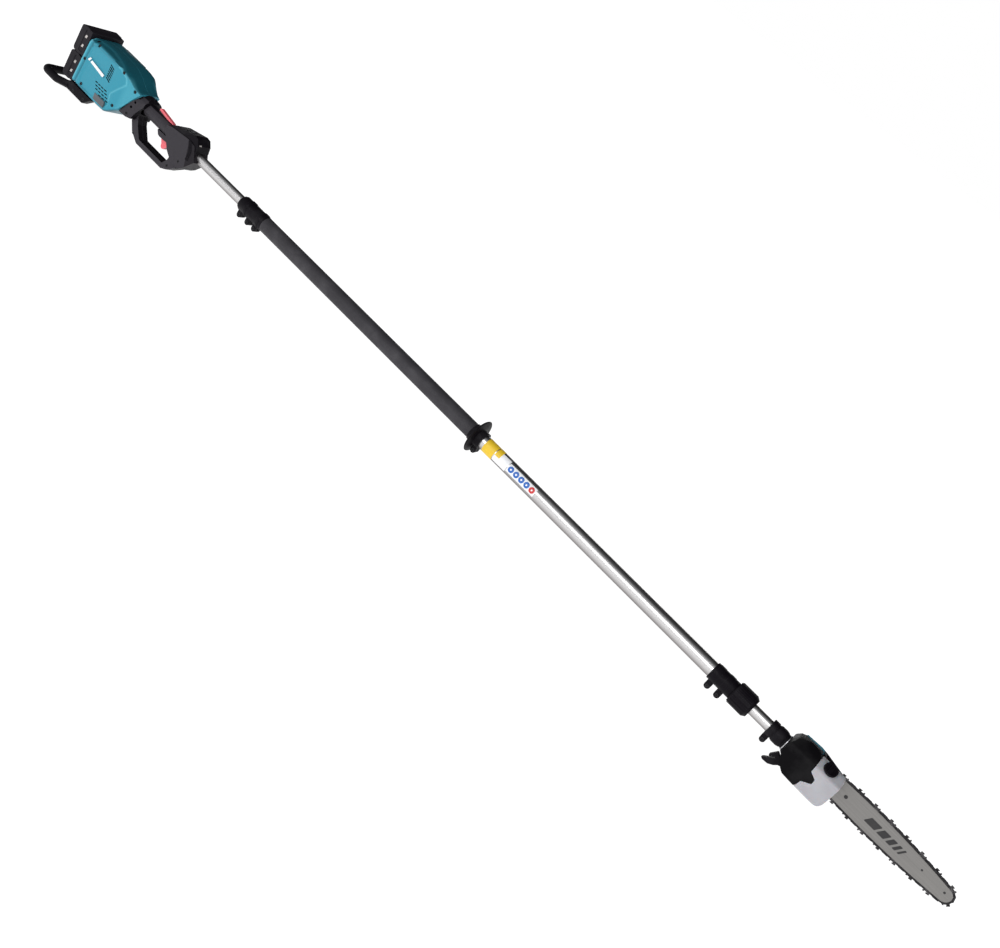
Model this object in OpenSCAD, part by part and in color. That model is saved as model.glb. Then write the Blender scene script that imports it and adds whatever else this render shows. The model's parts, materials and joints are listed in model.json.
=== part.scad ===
// Telescoping battery pole saw, modelled along its pole.
// Every piece is drawn in pole coordinates: x is the station measured forward from the rear guard,
// y is positive to the left of the tool, and z is measured up from the axis of the pole.
// on_pole() then moves the whole tool so that the origin lies under the middle of its length.

/* [Overall] */
// Length from the rear guard to the tip of the chain
tool_length = 2835; // [2834:0.5:2837]
// Height of the pole axis above the surface that the rear guard rests on
axis_height = 109; // [107:0.5:112]

/* [Pole] */
// Outer diameter of the thin tubes at both ends
tube_d = 25; // [24:0.5:25]
// Wall of the thin tubes
tube_wall = 1.5; // [1:0.1:2]
// Outer diameter of the thick middle tube
outer_d = 34; // [33.5:0.5:34.5]
// Wall of the thick middle tube
outer_wall = 1.4; // [1:0.1:1.6]
// Outer diameter of the soft grip sleeve
grip_d = 38; // [37:0.5:40]
// Diameter of the hand guard disc
guard_disc_d = 84; // [70:1:90]
// Outer diameter of the ribbed lock sleeve
lock_sleeve_d = 52; // [51:0.5:53]

/* [Batteries] */
// Width of one battery pack, measured up the tool
battery_w = 69; // [68:0.5:69.5]
// Length of one battery pack, measured across the tool
battery_l = 110; // [106:1:112]
// Distance between the centres of the two packs
battery_pitch = 70; // [70:0.5:71]

/* [Handle] */
// Diameter of the round hand grip
handle_grip_d = 35; // [34:0.5:36]
// Width of the lower loop of the handle
loop_w = 30; // [26:1:32]
// Width of the switch housing
switch_w = 47; // [44:1:50]

/* [Cutting head] */
// Sideways place of the guide bar from the pole axis
bar_plane = 18; // [18:0.1:18.2]
// Thickness of the guide bar
bar_t = 4; // [3.8:0.1:4.2]
// Largest width of the guide bar
bar_w = 50; // [49:0.5:52]
// Radius of the nose of the guide bar
bar_nose_r = 15; // [14:0.5:16]
// Distance between two neighbouring drive links of the chain
link_pitch = 19.05; // [18.8:0.05:19.3]
// Number of teeth on the pinion
pinion_teeth = 8; // [8:1:8]
// Number of teeth on the face gear
face_teeth = 16; // [16:1:16]

/* [Hidden] */
$fn = 64;
eps = 0.01;
// Gap between pieces that are fixed together, and between pieces that turn in each other
seat_gap = 0.05;
run_gap = 0.06;

// Radii along the pole
tube_r = tube_d / 2;
tube_bore_r = tube_r - tube_wall;
outer_r = outer_d / 2;
outer_bore_r = outer_r - outer_wall;
shaft_hex_r = 4.6;
rotor_shaft_r = 5;
front_shaft_r = 6.5;

// Stations of the power unit
battery_rear = 76;
rim_x = 118;
mount_x = 131.5;
motor_x = 226;
motor_len = 36;
coupling_x = 293;
front_top_x = 313;
front_bottom_x = 277;

// Stations of the pole
rear_tube_x = 488;
rear_tube_end = 800;
outer_tube_x = 742;
outer_tube_end = 2268;
rear_clamp_x = 703;
grip_x = 789;
grip_end = 1515.5;
front_holder_x = 2228;
lock_sleeve_x = 2286;
lock_sleeve_end = 2334;
inner_tube_x = 1150;
head_clamp_x = 2380;
head_x = 2424;

// Stations of the cutting head
sprocket_x = 2465;
tank_end = 2547;
nose_x = tool_length - bar_nose_r - 8.6;
widest_x = 2622;

// Half width of the motor housing at station x and height z
housing_plan_at = [[rim_x, 57], [215, 57], [256, 50], [284, 41], [front_top_x + 1, 33]];
housing_section_at = [[-58, 57], [43.5, 52.7], [50, 50.3], [56, 45]];
function housing_y(x, z) = min(lookup(x, housing_plan_at), lookup(z, housing_section_at));

// Half width of the collar of the handle at station x
collar_plan_at = [[270, 38], [front_top_x, 32], [336, 27]];
function collar_y(x) = lookup(x, collar_plan_at);
// Half of the collar's cross-section, as [half width, height]
collar_section_at = [[38, -50], [38, -10], [31, 6], [26, 15], [18, 22], [9, 27], [3, 28.5]];

// Places of fasteners in side view, as [station, height], and for the handle also the half width there
housing_screw_at = [[149, 50], [254, 44], [298, 22], [126, -1], [150, -57], [262, -42]];
guard_screw_at = [[136, -86], [177, -84]];
handle_screw_at = [[311, 16.5, 25], [300, -36, collar_y(300)], [327, -70, loop_w / 2],
                   [466, -68, loop_w / 2], [498, -34, switch_w / 2], [512.5, 16.3, switch_w / 2]];
rear_clamp_at = [715, 745, 770];
front_holder_at = [2241, 2267];
head_clamp_at = 2387;

// The chain's rivet line: two wide arcs on each side, joined by an arc at the nose and the sprocket
rivet_lift = 2.7;
path_h = bar_w / 2 + rivet_lift;
path_nose_r = bar_nose_r + rivet_lift;
path_drive_r = 18.4;

// Radius of the wide arc that joins the widest point to an end circle at distance d
function wide_r(d, h, r) = (d * d + h * h - r * r) / (2 * (h - r));
// Angle in degrees that this wide arc sweeps
function wide_a(d, h, r) = asin(d / (wide_r(d, h, r) - r));
nose_d = nose_x - widest_x;
drive_d = widest_x - sprocket_x;
nose_wide_r = wide_r(nose_d, path_h, path_nose_r);
nose_wide_a = wide_a(nose_d, path_h, path_nose_r);
drive_wide_r = wide_r(drive_d, path_h, path_drive_r);
drive_wide_a = wide_a(drive_d, path_h, path_drive_r);

// Lengths of the stretches of the rivet line, from the widest point on top forward and round
deg = PI / 180;
len_a = nose_wide_r * nose_wide_a * deg;
len_b = path_nose_r * (180 - 2 * nose_wide_a) * deg;
len_c = drive_wide_r * drive_wide_a * deg;
len_d = path_drive_r * (180 - 2 * drive_wide_a) * deg;
chain_len = 2 * len_a + len_b + 2 * len_c + len_d;
link_count = 2 * floor(chain_len / link_pitch / 2);
link_step = chain_len / link_count;

// Point on the circle with centre [x, z] and radius r, at angle a above the forward direction
function on_circle(x, z, r, a) = [x + r * cos(a), z + r * sin(a)];

// Brings a distance along the rivet line back into one turn of it
function one_turn(u) = u - chain_len * floor(u / chain_len);

// Point of the rivet line at the distance u along it, for u within one turn
function turn_point(u) =
  u < len_a ? on_circle(widest_x, path_h - nose_wide_r, nose_wide_r, 90 - u / len_a * nose_wide_a) :
  u < len_a + len_b ?
    on_circle(nose_x, 0, path_nose_r, 90 - nose_wide_a - (u - len_a) / path_nose_r / deg) :
  u < 2 * len_a + len_b ?
    on_circle(widest_x, nose_wide_r - path_h, nose_wide_r,
              -90 + nose_wide_a * (2 * len_a + len_b - u) / len_a) :
  u < 2 * len_a + len_b + len_c ?
    on_circle(widest_x, drive_wide_r - path_h, drive_wide_r,
              -90 - drive_wide_a * (u - 2 * len_a - len_b) / len_c) :
  u < chain_len - len_c ?
    on_circle(sprocket_x, 0, path_drive_r,
              -90 - drive_wide_a - (u - 2 * len_a - len_b - len_c) / path_drive_r / deg) :
  on_circle(widest_x, path_h - drive_wide_r, drive_wide_r, 90 + drive_wide_a * (chain_len - u) / len_c);

// Point of the rivet line at any distance u
function path_point(u) = turn_point(one_turn(u));

// Points of an arc in side view, from angle a0 to a1 in n steps
function arc(x, z, r, a0, a1, n) = [for (i = [0:n]) on_circle(x, z, r, a0 + (a1 - a0) * i / n)];

// ---------- Shared shapes ----------

// Puts a piece drawn in pole coordinates into the tool's own frame
module on_pole() {
  translate([-tool_length / 2, 0, axis_height]) children();
}

// Extrudes a side view outline of [station, height] points from y0 to y1
module side(y0, y1) {
  translate([0, y1, 0]) rotate([90, 0, 0]) linear_extrude(height = y1 - y0) children();
}

// Extrudes a plan view outline of [station, y] points from z0 to z1
module plan(z0, z1) {
  translate([0, 0, z0]) linear_extrude(height = z1 - z0) children();
}

// Extrudes a cross-section outline of [y, z] points from station x0 to x1
module section(x0, x1) {
  translate([x0, 0, 0]) rotate([90, 0, 90]) linear_extrude(height = x1 - x0) children();
}

// Round bar along the pole
module rod_x(x0, x1, r) {
  translate([x0, 0, 0]) rotate([0, 90, 0]) cylinder(h = x1 - x0, r = r);
}

// Hexagon bar along the pole
module hex_x(x0, x1, r) {
  translate([x0, 0, 0]) rotate([0, 90, 0]) cylinder(h = x1 - x0, r = r, $fn = 6);
}

// Round tube along the pole
module tube_x(x0, x1, r_out, r_in) {
  difference() {
    rod_x(x0, x1, r_out);
    rod_x(x0 - 1, x1 + 1, r_in);
  }
}

// Round bar across the tool at station x and height z
module rod_y(x, z, y0, y1, r) {
  translate([x, y1, z]) rotate([90, 0, 0]) cylinder(h = y1 - y0, r = r);
}

// Box given by its two opposite corners
module block(lo, hi) {
  translate(lo) cube(hi - lo);
}

// Keeps the right half of a shell
module right_half() {
  intersection() {
    children();
    block([-50, -200, -200], [tool_length, -seat_gap / 2, 200]);
  }
}

// Keeps the left half of a shell
module left_half() {
  intersection() {
    children();
    block([-50, seat_gap / 2, -200], [tool_length, 200, 200]);
  }
}

// Draws a piece of the right side again on the left side
module both_sides() {
  children();
  mirror([0, 1, 0]) children();
}

// Cap screw across the tool, head on the right, with a hexagon socket
module cap_screw(x, z, y_head, head_r, head_h, shank_r, length) {
  difference() {
    union() {
      rod_y(x, z, y_head, y_head + head_h, head_r);
      rod_y(x, z, y_head + head_h - eps, y_head + length, shank_r);
    }
    translate([x, y_head + head_h * 0.6, z]) rotate([90, 0, 0]) cylinder(h = head_h, r = head_r * 0.5, $fn = 6);
  }
}

// ---------- Motor housing ----------

// Side view of the motor housing, pulled in by t and lengthened by extra at both ends
module housing_side(t, extra) {
  polygon([[rim_x - extra, -67 + t], [rim_x - extra, 54 - t], [136, 59 - t], [185, 60 - t], [238, 57 - t],
           [268, 46 - t], [front_top_x - 14, 29 - t], [front_top_x + extra, 28 - t],
           [front_bottom_x + extra, -45 + t], [248, -70 + t], [190, -69 + t]]);
}

// Plan view of the motor housing, pulled in by t and lengthened by extra at both ends
module housing_plan(t, extra) {
  last = len(housing_plan_at) - 1;
  half = [for (i = [0:last]) housing_plan_at[i] + [i == 0 ? -extra : i == last ? extra : 0, -t]];
  polygon(concat(half, [for (i = [last:-1:0]) [half[i][0], -half[i][1]]]));
}

// Cross-section of the motor housing, which narrows towards its top, pulled in by t
module housing_section(t) {
  half = concat(arc(53 - 20, 60 - 20, 20 - t, 78, 10, 6), arc(57 - 12, -70 + 12, 12 - t, 4, -82, 5));
  polygon(concat(half, [for (i = [len(half) - 1:-1:0]) [-half[i][0], half[i][1]]]));
}

// Solid form of the motor housing, pulled in by t and lengthened by extra at both ends
module housing_form(t, extra) {
  intersection() {
    side(-60, 60) housing_side(t, extra);
    plan(-80, 80) housing_plan(t, extra);
    section(rim_x - extra, front_top_x + extra) housing_section(t);
  }
}

// Slanted block of air slots and rows of level air slots, cut through both sides
module housing_vents() {
  for (i = [0:6]) {
    side(-60, 60) translate([207 + i * 0.5, 34.5 - i * 5.4]) rotate(-14) square([18, 2.2]);
  }
  for (row = [0:3], col = [0:3]) {
    side(-60, 60) translate([187 + col * 11.5 + row * 5, -25 - row * 6.5]) square([9, 2.2]);
  }
}

// Recessed panel on both sides, with a stepped front edge
module housing_panels() {
  difference() {
    side(-60, 60) polygon([[141, -62], [132, 43], [243, 46], [271, 22], [245, -21], [248, -62]]);
    housing_form(1.3, 5);
  }
}

// Ribs inside the housing that hold the motor, and the pillars for the housing screws
module housing_ribs() {
  intersection() {
    housing_form(2, 0);
    union() {
      difference() {
        block([214.5, -60, -60], [217, 60, 60]);
        rod_x(210, 230, 8);
      }
      difference() {
        block([217 - eps, -30, -30], [223, 30, 30]);
        rod_x(210, 230, 11);
      }
      difference() {
        block([240, -60, -60], [246, 60, 60]);
        rod_x(230, 250, 33);
      }
      difference() {
        block([283, -40, -60], [289, 40, 60]);
        rod_x(280, 290, 11);
      }
      for (p = housing_screw_at) rod_y(p[0], p[1], 2 - housing_y(p[0], p[1]), housing_y(p[0], p[1]) - 2, 5);
    }
  }
}

// Both housing shells before they are split
module housing_shells() {
  difference() {
    union() {
      difference() {
        housing_form(0, 0);
        housing_form(2.6, 6);
        housing_vents();
        housing_panels();
      }
      housing_ribs();
    }
    for (p = housing_screw_at) {
      rod_y(p[0], p[1], -60, 3.2 - housing_y(p[0], p[1]), 4);
      rod_y(p[0], p[1], -60, 26, 1.9);
    }
  }
}

module housing_right() {
  color([0.22, 0.58, 0.68]) on_pole() right_half() housing_shells();
}

module housing_left() {
  color([0.22, 0.58, 0.68]) on_pole() left_half() difference() {
    housing_shells();
    // The packs' rails leave the housing through these cut-outs in the left wall
    for (s = [-1, 1]) {
      translate([0, 0, s * battery_pitch / 2 + battery_mid])
        block([rim_x - 1, 25, -rail_h - 1.5], [rail_x + rail_depth + 0.7, 60, rail_h + 1.5]);
    }
  }
}

module housing_screws() {
  color([0.12, 0.12, 0.13]) on_pole() {
    for (p = housing_screw_at) {
      y = housing_y(p[0], p[1]);
      cap_screw(p[0], p[1], 0.5 - y, 3.6, 2.6, 1.8, 24.5 + y);
    }
    both_sides() for (p = guard_screw_at) cap_screw(p[0], p[1], -55.8, 3.6, 2.6, 1.8, 18);
  }
}

// ---------- Rear guard ----------

guard_r = 10;
guard_z = -axis_height + guard_r - 1;
guard_y = 47;
guard_bend_r = 16;

module rear_guard() {
  bend_x = guard_r + guard_bend_r;
  knee_x = 54;
  knee_r = 40;
  leg_a = 15;
  foot = [[102, -88], [109, -74], [118.5, -74], [118.5, -70.6], [204, -70.6], [178, -94], [116, -94]];
  color([0.17, 0.16, 0.18]) on_pole() difference() {
    union() {
      rod_y(guard_r, guard_z, -guard_y + guard_bend_r, guard_y - guard_bend_r, guard_r);
      for (s = [-1, 1]) {
        translate([bend_x, s * (guard_y - guard_bend_r), guard_z]) rotate([0, 0, s > 0 ? 90 : 180])
          rotate_extrude(angle = 90) translate([guard_bend_r, 0]) circle(r = guard_r);
        translate([0, s * guard_y, 0]) {
          rod_x_at(bend_x, knee_x, guard_z, guard_r);
          // Knee that bends up, and the sloping leg after it
          translate([knee_x, 0, guard_z + knee_r]) rotate([90, 0, 0]) {
            rotate([0, 0, -90]) rotate_extrude(angle = leg_a) translate([knee_r, 0]) circle(r = guard_r);
            rotate([0, 0, leg_a - 90]) translate([knee_r, -0.5, 0]) rotate([-90, 0, 0])
              cylinder(h = 50, r = guard_r - 0.05);
          }
          side(-8.5, 8.5) polygon(foot);
        }
      }
      // Bridge under the housing that joins the two feet
      block([124, -guard_y, -77], [186, guard_y, -70.6]);
    }
    // Flat underside that the tool rests on
    block([-5, -80, guard_z - guard_r - 5], [120, 80, -axis_height]);
    both_sides() for (p = guard_screw_at) {
      rod_y(p[0], p[1], -60, -53, 3.7);
      rod_y(p[0], p[1], -60, -37.5, 1.85);
    }
  }
}

// Round bar along the pole at height z
module rod_x_at(x0, x1, z, r) {
  translate([0, 0, z]) rod_x(x0, x1, r);
}

// ---------- Batteries and electronics ----------

rail_h = 16;
rail_depth = 13;
rail_x = 117;
rail_half_l = 32;
// Height of the middle between the two packs
battery_mid = -3;
// Far end of a pack's case, where its release button sits
battery_far = battery_l / 2 - 10;

// One battery case without its hollow, centred on its own height
module battery_body() {
  block([battery_rear, -battery_l / 2, -battery_w / 2], [rail_x, battery_far, battery_w / 2]);
  difference() {
    block([rail_x - eps, -rail_half_l, -rail_h], [rail_x + rail_depth, rail_half_l, rail_h]);
    for (s = [-1, 1]) {
      block([rail_x + 4, -battery_l, s * rail_h - 3], [rail_x + 9, battery_l, s * rail_h + 3]);
    }
    // Slots for the terminals, open towards the leading end
    for (s = [-1, 1]) {
      block([rail_x + 5, -battery_l, s * 8 - 1.6], [rail_x + 20, 10, s * 8 + 1.6]);
    }
  }
}

// Battery case with the hollow for its cells, and a pocket for the release button
module battery_case() {
  difference() {
    battery_body();
    block([battery_rear + 2.2, -battery_l / 2 + 2.5, -battery_w / 2 + 2.2],
          [rail_x - 2, battery_far - 12, battery_w / 2 - 2.2]);
    block([battery_rear + 16, battery_far - 9, -15.4], [battery_rear + 36.4, battery_l, 15.4]);
    // Shallow steps that mark the top shell of the pack
    for (s = [-1, 1]) {
      translate([0, 0, s * (battery_w / 2 + 4)])
        block([rail_x - 14, -battery_l, -5], [rail_x - 11.6, battery_l, 5]);
    }
  }
}

// Eight round cells in two layers
module battery_cells() {
  for (row = [0:1], col = [0:3]) {
    translate([battery_rear + 11.3 + row * 18.4, -42.5 + col * 18.6, -32]) cylinder(h = 64, r = 9);
  }
}

// Release button on the trailing end of a pack
module battery_button() {
  block([battery_rear + 16.4, battery_far - 5.5, -15], [battery_rear + 36, battery_far, 15]);
}

module at_upper_battery() {
  on_pole() translate([0, 0, battery_pitch / 2 + battery_mid]) children();
}

module at_lower_battery() {
  on_pole() translate([0, 0, -battery_pitch / 2 + battery_mid]) children();
}

module upper_battery_case() {
  color([0.13, 0.12, 0.14]) at_upper_battery() battery_case();
}

module upper_battery_cells() {
  color([0.2, 0.5, 0.35]) at_upper_battery() battery_cells();
}

module upper_battery_button() {
  color([0.7, 0.12, 0.14]) at_upper_battery() battery_button();
}

module lower_battery_case() {
  color([0.13, 0.12, 0.14]) at_lower_battery() battery_case();
}

module lower_battery_cells() {
  color([0.2, 0.5, 0.35]) at_lower_battery() battery_cells();
}

module lower_battery_button() {
  color([0.7, 0.12, 0.14]) at_lower_battery() battery_button();
}

module battery_mount() {
  color([0.15, 0.15, 0.16]) on_pole() {
    intersection() {
      housing_form(3, 0);
      block([mount_x, -60, -62], [mount_x + 3.5, 60, 60]);
    }
    // Rails that hook into the grooves of each pack
    for (b = [-1, 1], s = [-1, 1]) {
      translate([0, 0, b * battery_pitch / 2 + battery_mid]) {
        side(2 - rail_half_l, rail_half_l - 2)
          polygon([[mount_x + eps, s * (rail_h + 0.5)], [mount_x + eps, s * (rail_h + 3)],
                   [rail_x + 4.6, s * (rail_h + 3)], [rail_x + 4.6, s * (rail_h - 2.4)],
                   [rail_x + 8.4, s * (rail_h - 2.4)], [rail_x + 8.4, s * (rail_h + 0.5)]]);
      }
    }
    // Pillars for the controller board
    for (y = [-26, 26], z = [-38, 28]) {
      translate([0, y, z]) rod_x(mount_x + 3.5 - eps, mount_x + 10, 3);
    }
  }
}

module battery_terminals() {
  color([0.8, 0.62, 0.3]) on_pole() {
    for (b = [-1, 1], s = [-1, 1]) {
      translate([0, 0, b * battery_pitch / 2 + battery_mid])
        block([rail_x + 6, -28, s * 8 - 0.8], [mount_x - seat_gap, -4, s * 8 + 0.8]);
    }
  }
}

module controller_board() {
  color([0.1, 0.35, 0.2]) on_pole() {
    x0 = mount_x + 10.05;
    block([x0, -30, -44], [x0 + 1.6, 30, 34]);
    // Six power switches and two round capacitors
    for (i = [0:5]) block([x0 + 1.6 - eps, -28 + i * 9.6, 10], [x0 + 6, -21 + i * 9.6, 24]);
    for (y = [-13, 13]) translate([0, y, -22]) rod_x(x0 + 1.6 - eps, x0 + 26, 9);
  }
}

// ---------- Motor and drive ----------

module motor_stator() {
  color([0.72, 0.45, 0.2]) on_pole() {
    difference() {
      rod_x(motor_x, motor_x + motor_len, 32.95);
      rod_x(motor_x - 1, motor_x + motor_len + 1, 28);
    }
    // Wound teeth that point at the rotor
    for (i = [0:11]) {
      rotate([i * 30, 0, 0]) block([motor_x + 1, -3.6, 18], [motor_x + motor_len - 1, 3.6, 28.4]);
    }
  }
}

module motor_rotor() {
  color([0.6, 0.6, 0.63]) on_pole() {
    rod_x(motor_x + 1, motor_x + motor_len - 1, 17.2);
    rod_x(212, coupling_x + 2, rotor_shaft_r);
  }
}

module cooling_fan() {
  color([0.2, 0.2, 0.22]) on_pole() {
    tube_x(266, 269, 29, rotor_shaft_r + eps);
    tube_x(266, 278, 9, rotor_shaft_r + eps);
    for (i = [0:8]) {
      rotate([i * 40, 0, 0]) block([268, -0.9, 8.5], [278, 0.9, 28.5]);
    }
  }
}

module shaft_bearings() {
  color([0.7, 0.7, 0.72]) on_pole() {
    for (x = [217.1, 283.1]) tube_x(x, x + 5.8, 10.95, rotor_shaft_r + run_gap);
    // Plain bushes that keep the drive shaft in the middle of the rear tube
    for (x = [496, 640, 780]) tube_x(x, x + 14, tube_bore_r - seat_gap, shaft_hex_r + 0.15);
  }
}

module rear_drive_shaft() {
  color([0.65, 0.65, 0.68]) on_pole() {
    hex_x(coupling_x + 22, 2300, shaft_hex_r);
    difference() {
      rod_x(coupling_x - 2, coupling_x + 22 + eps, 9);
      rod_x(coupling_x - 4, coupling_x + 2 + eps, rotor_shaft_r + eps);
    }
  }
}

// ---------- Handle ----------

grip_r = handle_grip_d / 2;
trigger_at = [424, -15];
lever_at = [418, 11.5];

// Outer form of the whole handle before it is split and hollowed
module handle_form() {
  // Collar on the front of the motor housing
  intersection() {
    side(-40, 40) polygon([[front_bottom_x + 0.6, -45], [front_top_x + 0.6, 28.5], [326, 28.5], [336, 19],
                           [334, 4], [321, -21], [315, -41], [300, -45]]);
    section(270, 340) polygon(concat(collar_section_at, [for (i = [6:-1:0]) [-collar_section_at[i][0],
                                                                            collar_section_at[i][1]]]));
    plan(-60, 60) polygon(concat(collar_plan_at, [for (i = [2:-1:0]) [collar_plan_at[i][0], -collar_plan_at[i][1]]]));
  }
  rod_x(330, 430, grip_r);
  // Lower loop
  side(-loop_w / 2, loop_w / 2) difference() {
    polygon([[322, -14], [306, -47], [322, -69], [350, -85.5], [451, -85.5], [466, -79], [492, -58],
             [492, -14], [398, -14]]);
    polygon([[320, -27], [322, -10], [390, -10], [392, -17], [399, -25], [406, -26.5], [436, -24.5], [441, -34],
             [460, -48], [458, -57], [448, -72.5], [353, -72.5], [330, -46]]);
  }
  // Switch housing
  side(-switch_w / 2, switch_w / 2)
    polygon([[418, 15.5], [440, 21], [500, 28], [522, 24], [531, 8], [541, -8], [516, -41], [505, -50],
             [478, -50], [452, -34], [439, -20], [424, -2]]);
}

// Room inside the handle
module handle_cavity() {
  rod_x(270, 330, 23);
  rod_x(325, 400, 13.5);
  rod_x(395, 490, 9);
  // Pocket for the trigger
  side(-5.8, 5.8) polygon([[398, -8], [456, -8], [456, -22], [444, -22], [444, -36], [436, -44], [402, -44]]);
  // Pocket for the switch under the trigger's front arm
  block([446, -10, -32], [478, 10, -20]);
  // Pocket for the lock-off lever
  side(-5.3, 5.3) polygon([[357, 3], [424, 3], [424, 25], [357, 25]]);
  // Seat of the rear tube
  rod_x(rear_tube_x - 0.2, 560, tube_r + seat_gap);
  // Room under the control panel
  block([452, -14, 8], [508, 14, 24]);
}

// Holes for the pivots of the trigger and the lever
module handle_pivots(gap) {
  rod_y(trigger_at[0], trigger_at[1], -8.5 - gap, 8.5 + gap, 2.5 + gap);
  rod_y(lever_at[0], lever_at[1], -8 - gap, 8 + gap, 2 + gap);
}

module handle_shells() {
  difference() {
    handle_form();
    // The cavity leaves pillars for the two collar screws
    difference() {
      handle_cavity();
      for (i = [0:1]) rod_y(handle_screw_at[i][0], handle_screw_at[i][1], -40, 40, 4.5);
    }
    handle_pivots(run_gap);
    for (p = handle_screw_at) {
      rod_y(p[0], p[1], -60, -p[2] + 2.8, 3.8);
      rod_y(p[0], p[1], -60, 12, 1.9);
    }
    // The black control panel covers the top of the switch housing
    control_panel_form(0.15);
    // Air holes in the collar
    for (z = [1, -15]) rod_y(309 + z * 0.35, z, -60, 60, 3.4);
  }
}

// Outer form of the control panel, grown by g where it meets the handle
module control_panel_form(g) {
  side(-switch_w / 2 + 2 - g, switch_w / 2 - 2 + g)
    polygon([[432 - g, 17 - g], [432 - g, 24], [446, 32], [492, 42.5], [506, 46], [518, 44], [528, 31],
             [531 + g, 14 - g], [524, 14 - g], [518, 20 - g], [498, 24 - g], [440, 17.5 - g]]);
}

module handle_right() {
  color([0.33, 0.32, 0.35]) on_pole() right_half() handle_shells();
}

module handle_left() {
  color([0.33, 0.32, 0.35]) on_pole() left_half() handle_shells();
}

module handle_screws() {
  color([0.12, 0.12, 0.13]) on_pole() {
    for (p = handle_screw_at) cap_screw(p[0], p[1], -p[2] + 0.3, 3.6, 2.4, 1.8, 11.5 + p[2]);
  }
}

module trigger_switch() {
  color([0.18, 0.18, 0.2]) on_pole() {
    block([446.5, -9.5, -31.5], [477.5, 9.5, -21.5]);
    block([447.5, -3, -21.5 - eps], [452.5, 3, -18.8]);
  }
}

module trigger() {
  color([0.85, 0.3, 0.33]) on_pole() {
    side(-5, 5) polygon([[407, -12], [420, -10], [452, -9.5], [452, -12.5], [440, -14], [440.5, -22], [437, -30], [430, -40], [424, -48.5],
                         [418, -50.5], [413, -47], [411, -40], [404.5, -31]]);
    rod_y(trigger_at[0], trigger_at[1], -8.5, 8.5, 2.5);
  }
}

module lock_off_lever() {
  color([0.85, 0.3, 0.33]) on_pole() {
    side(-4.6, 4.6) polygon([[422, 8], [422, 15.5], [416, 19.5], [364, 26.5], [361, 24], [361, 15], [366, 14],
                             [410, 12], [414, 8]]);
    rod_y(lever_at[0], lever_at[1], -8, 8, 2);
  }
}

// Slope of the panel's top, and the stations of its two buttons
panel_slope = 12.86;
button_at = [[464, 36.1], [482, 40.2]];
button_r = 5;

// Puts children on the panel's top at button i, with z along the outward normal
module at_button(i) {
  translate([button_at[i][0], 0, button_at[i][1]]) rotate([0, -panel_slope, 0]) children();
}

module control_panel() {
  color([0.1, 0.1, 0.11]) on_pole() difference() {
    control_panel_form(0);
    for (i = [0:1]) at_button(i) translate([0, 0, -7]) cylinder(h = 20, r = button_r + 0.3);
  }
}

// Push button with a flange-free round body, standing 1.4 mm proud of the panel
module push_button(i) {
  at_button(i) translate([0, 0, -5]) cylinder(h = 6.4, r = button_r);
}

module power_button() {
  color([0.5, 0.5, 0.52]) on_pole() push_button(1);
}

module mode_button() {
  color([0.35, 0.35, 0.37]) on_pole() push_button(0);
}

// ---------- Pole ----------

// One clamp ear pair with a round bottom, under the pole at station x
module clamp_ear(x, r, low, width) {
  side(-9, 9) {
    translate([x - width / 2, low + width / 2]) square([width, -low - width / 2 - r * 0.6]);
    translate([x, low + width / 2]) circle(r = width / 2);
  }
}

// Holes of a clamp ear's screw: clearance, head seat on the right and nut seat on the left
module clamp_ear_holes(x, low, width) {
  z = low + width / 2;
  rod_y(x, z, -20, 20, 2.1);
  rod_y(x, z, -20, -6, 4);
}

// Screw of a clamp ear
module clamp_screw(x, low, width) {
  cap_screw(x, low + width / 2, -9.4, 3.8, 3.3, 2, 19);
}

clamp_low = -33;
clamp_ear_w = 14;
holder_low = -37;
holder_ear_w = 14;

module rear_tube() {
  color([0.75, 0.75, 0.77]) on_pole() tube_x(rear_tube_x, rear_tube_end, tube_r, tube_bore_r);
}

module rear_clamp() {
  color([0.14, 0.13, 0.15]) on_pole() difference() {
    union() {
      rod_x(rear_clamp_x + 4, grip_x - 0.3, 19.5);
      rod_x(rear_clamp_x, rear_clamp_x + 8, 17.5);
      for (x = [rear_clamp_x + 22, rear_clamp_x + 68]) rod_x(x, x + 10, 21);
      for (x = rear_clamp_at) clamp_ear(x, 19.5, clamp_low, clamp_ear_w);
    }
    rod_x(rear_clamp_x - 1, grip_x + 1, tube_r + seat_gap);
    rod_x(outer_tube_x - 0.3, grip_x + 1, outer_r + seat_gap);
    block([rear_clamp_x - 1, -1.2, -40], [grip_x + 1, 1.2, -5]);
    for (x = rear_clamp_at) clamp_ear_holes(x, clamp_low, clamp_ear_w);
  }
}

module outer_tube() {
  color([0.75, 0.75, 0.77]) on_pole() tube_x(outer_tube_x, outer_tube_end, outer_r, outer_bore_r);
}

module grip_sleeve() {
  color([0.12, 0.12, 0.13]) on_pole() tube_x(grip_x, grip_end, grip_d / 2, outer_r + seat_gap);
}

module hand_guard() {
  guard_x = 1531;
  color([0.1, 0.1, 0.11]) on_pole() difference() {
    union() {
      translate([guard_x, 0, 0]) rotate([0, 90, 0]) rotate_extrude()
        polygon([[outer_r - 2, -15], [21, -15], [21, -5], [guard_disc_d / 2 - 1.5, -1.6], [guard_disc_d / 2, 0],
                 [guard_disc_d / 2 - 1.5, 1.6], [21, 5], [21, 19], [outer_r - 2, 19]]);
      clamp_ear(guard_x + 12, 20, -35, 13);
    }
    rod_x(guard_x - 20, guard_x + 25, outer_r + seat_gap);
    block([guard_x + 4.5, -1.2, -40], [guard_x + 25, 1.2, -5]);
    clamp_ear_holes(guard_x + 12, -35, 13);
  }
}

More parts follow.
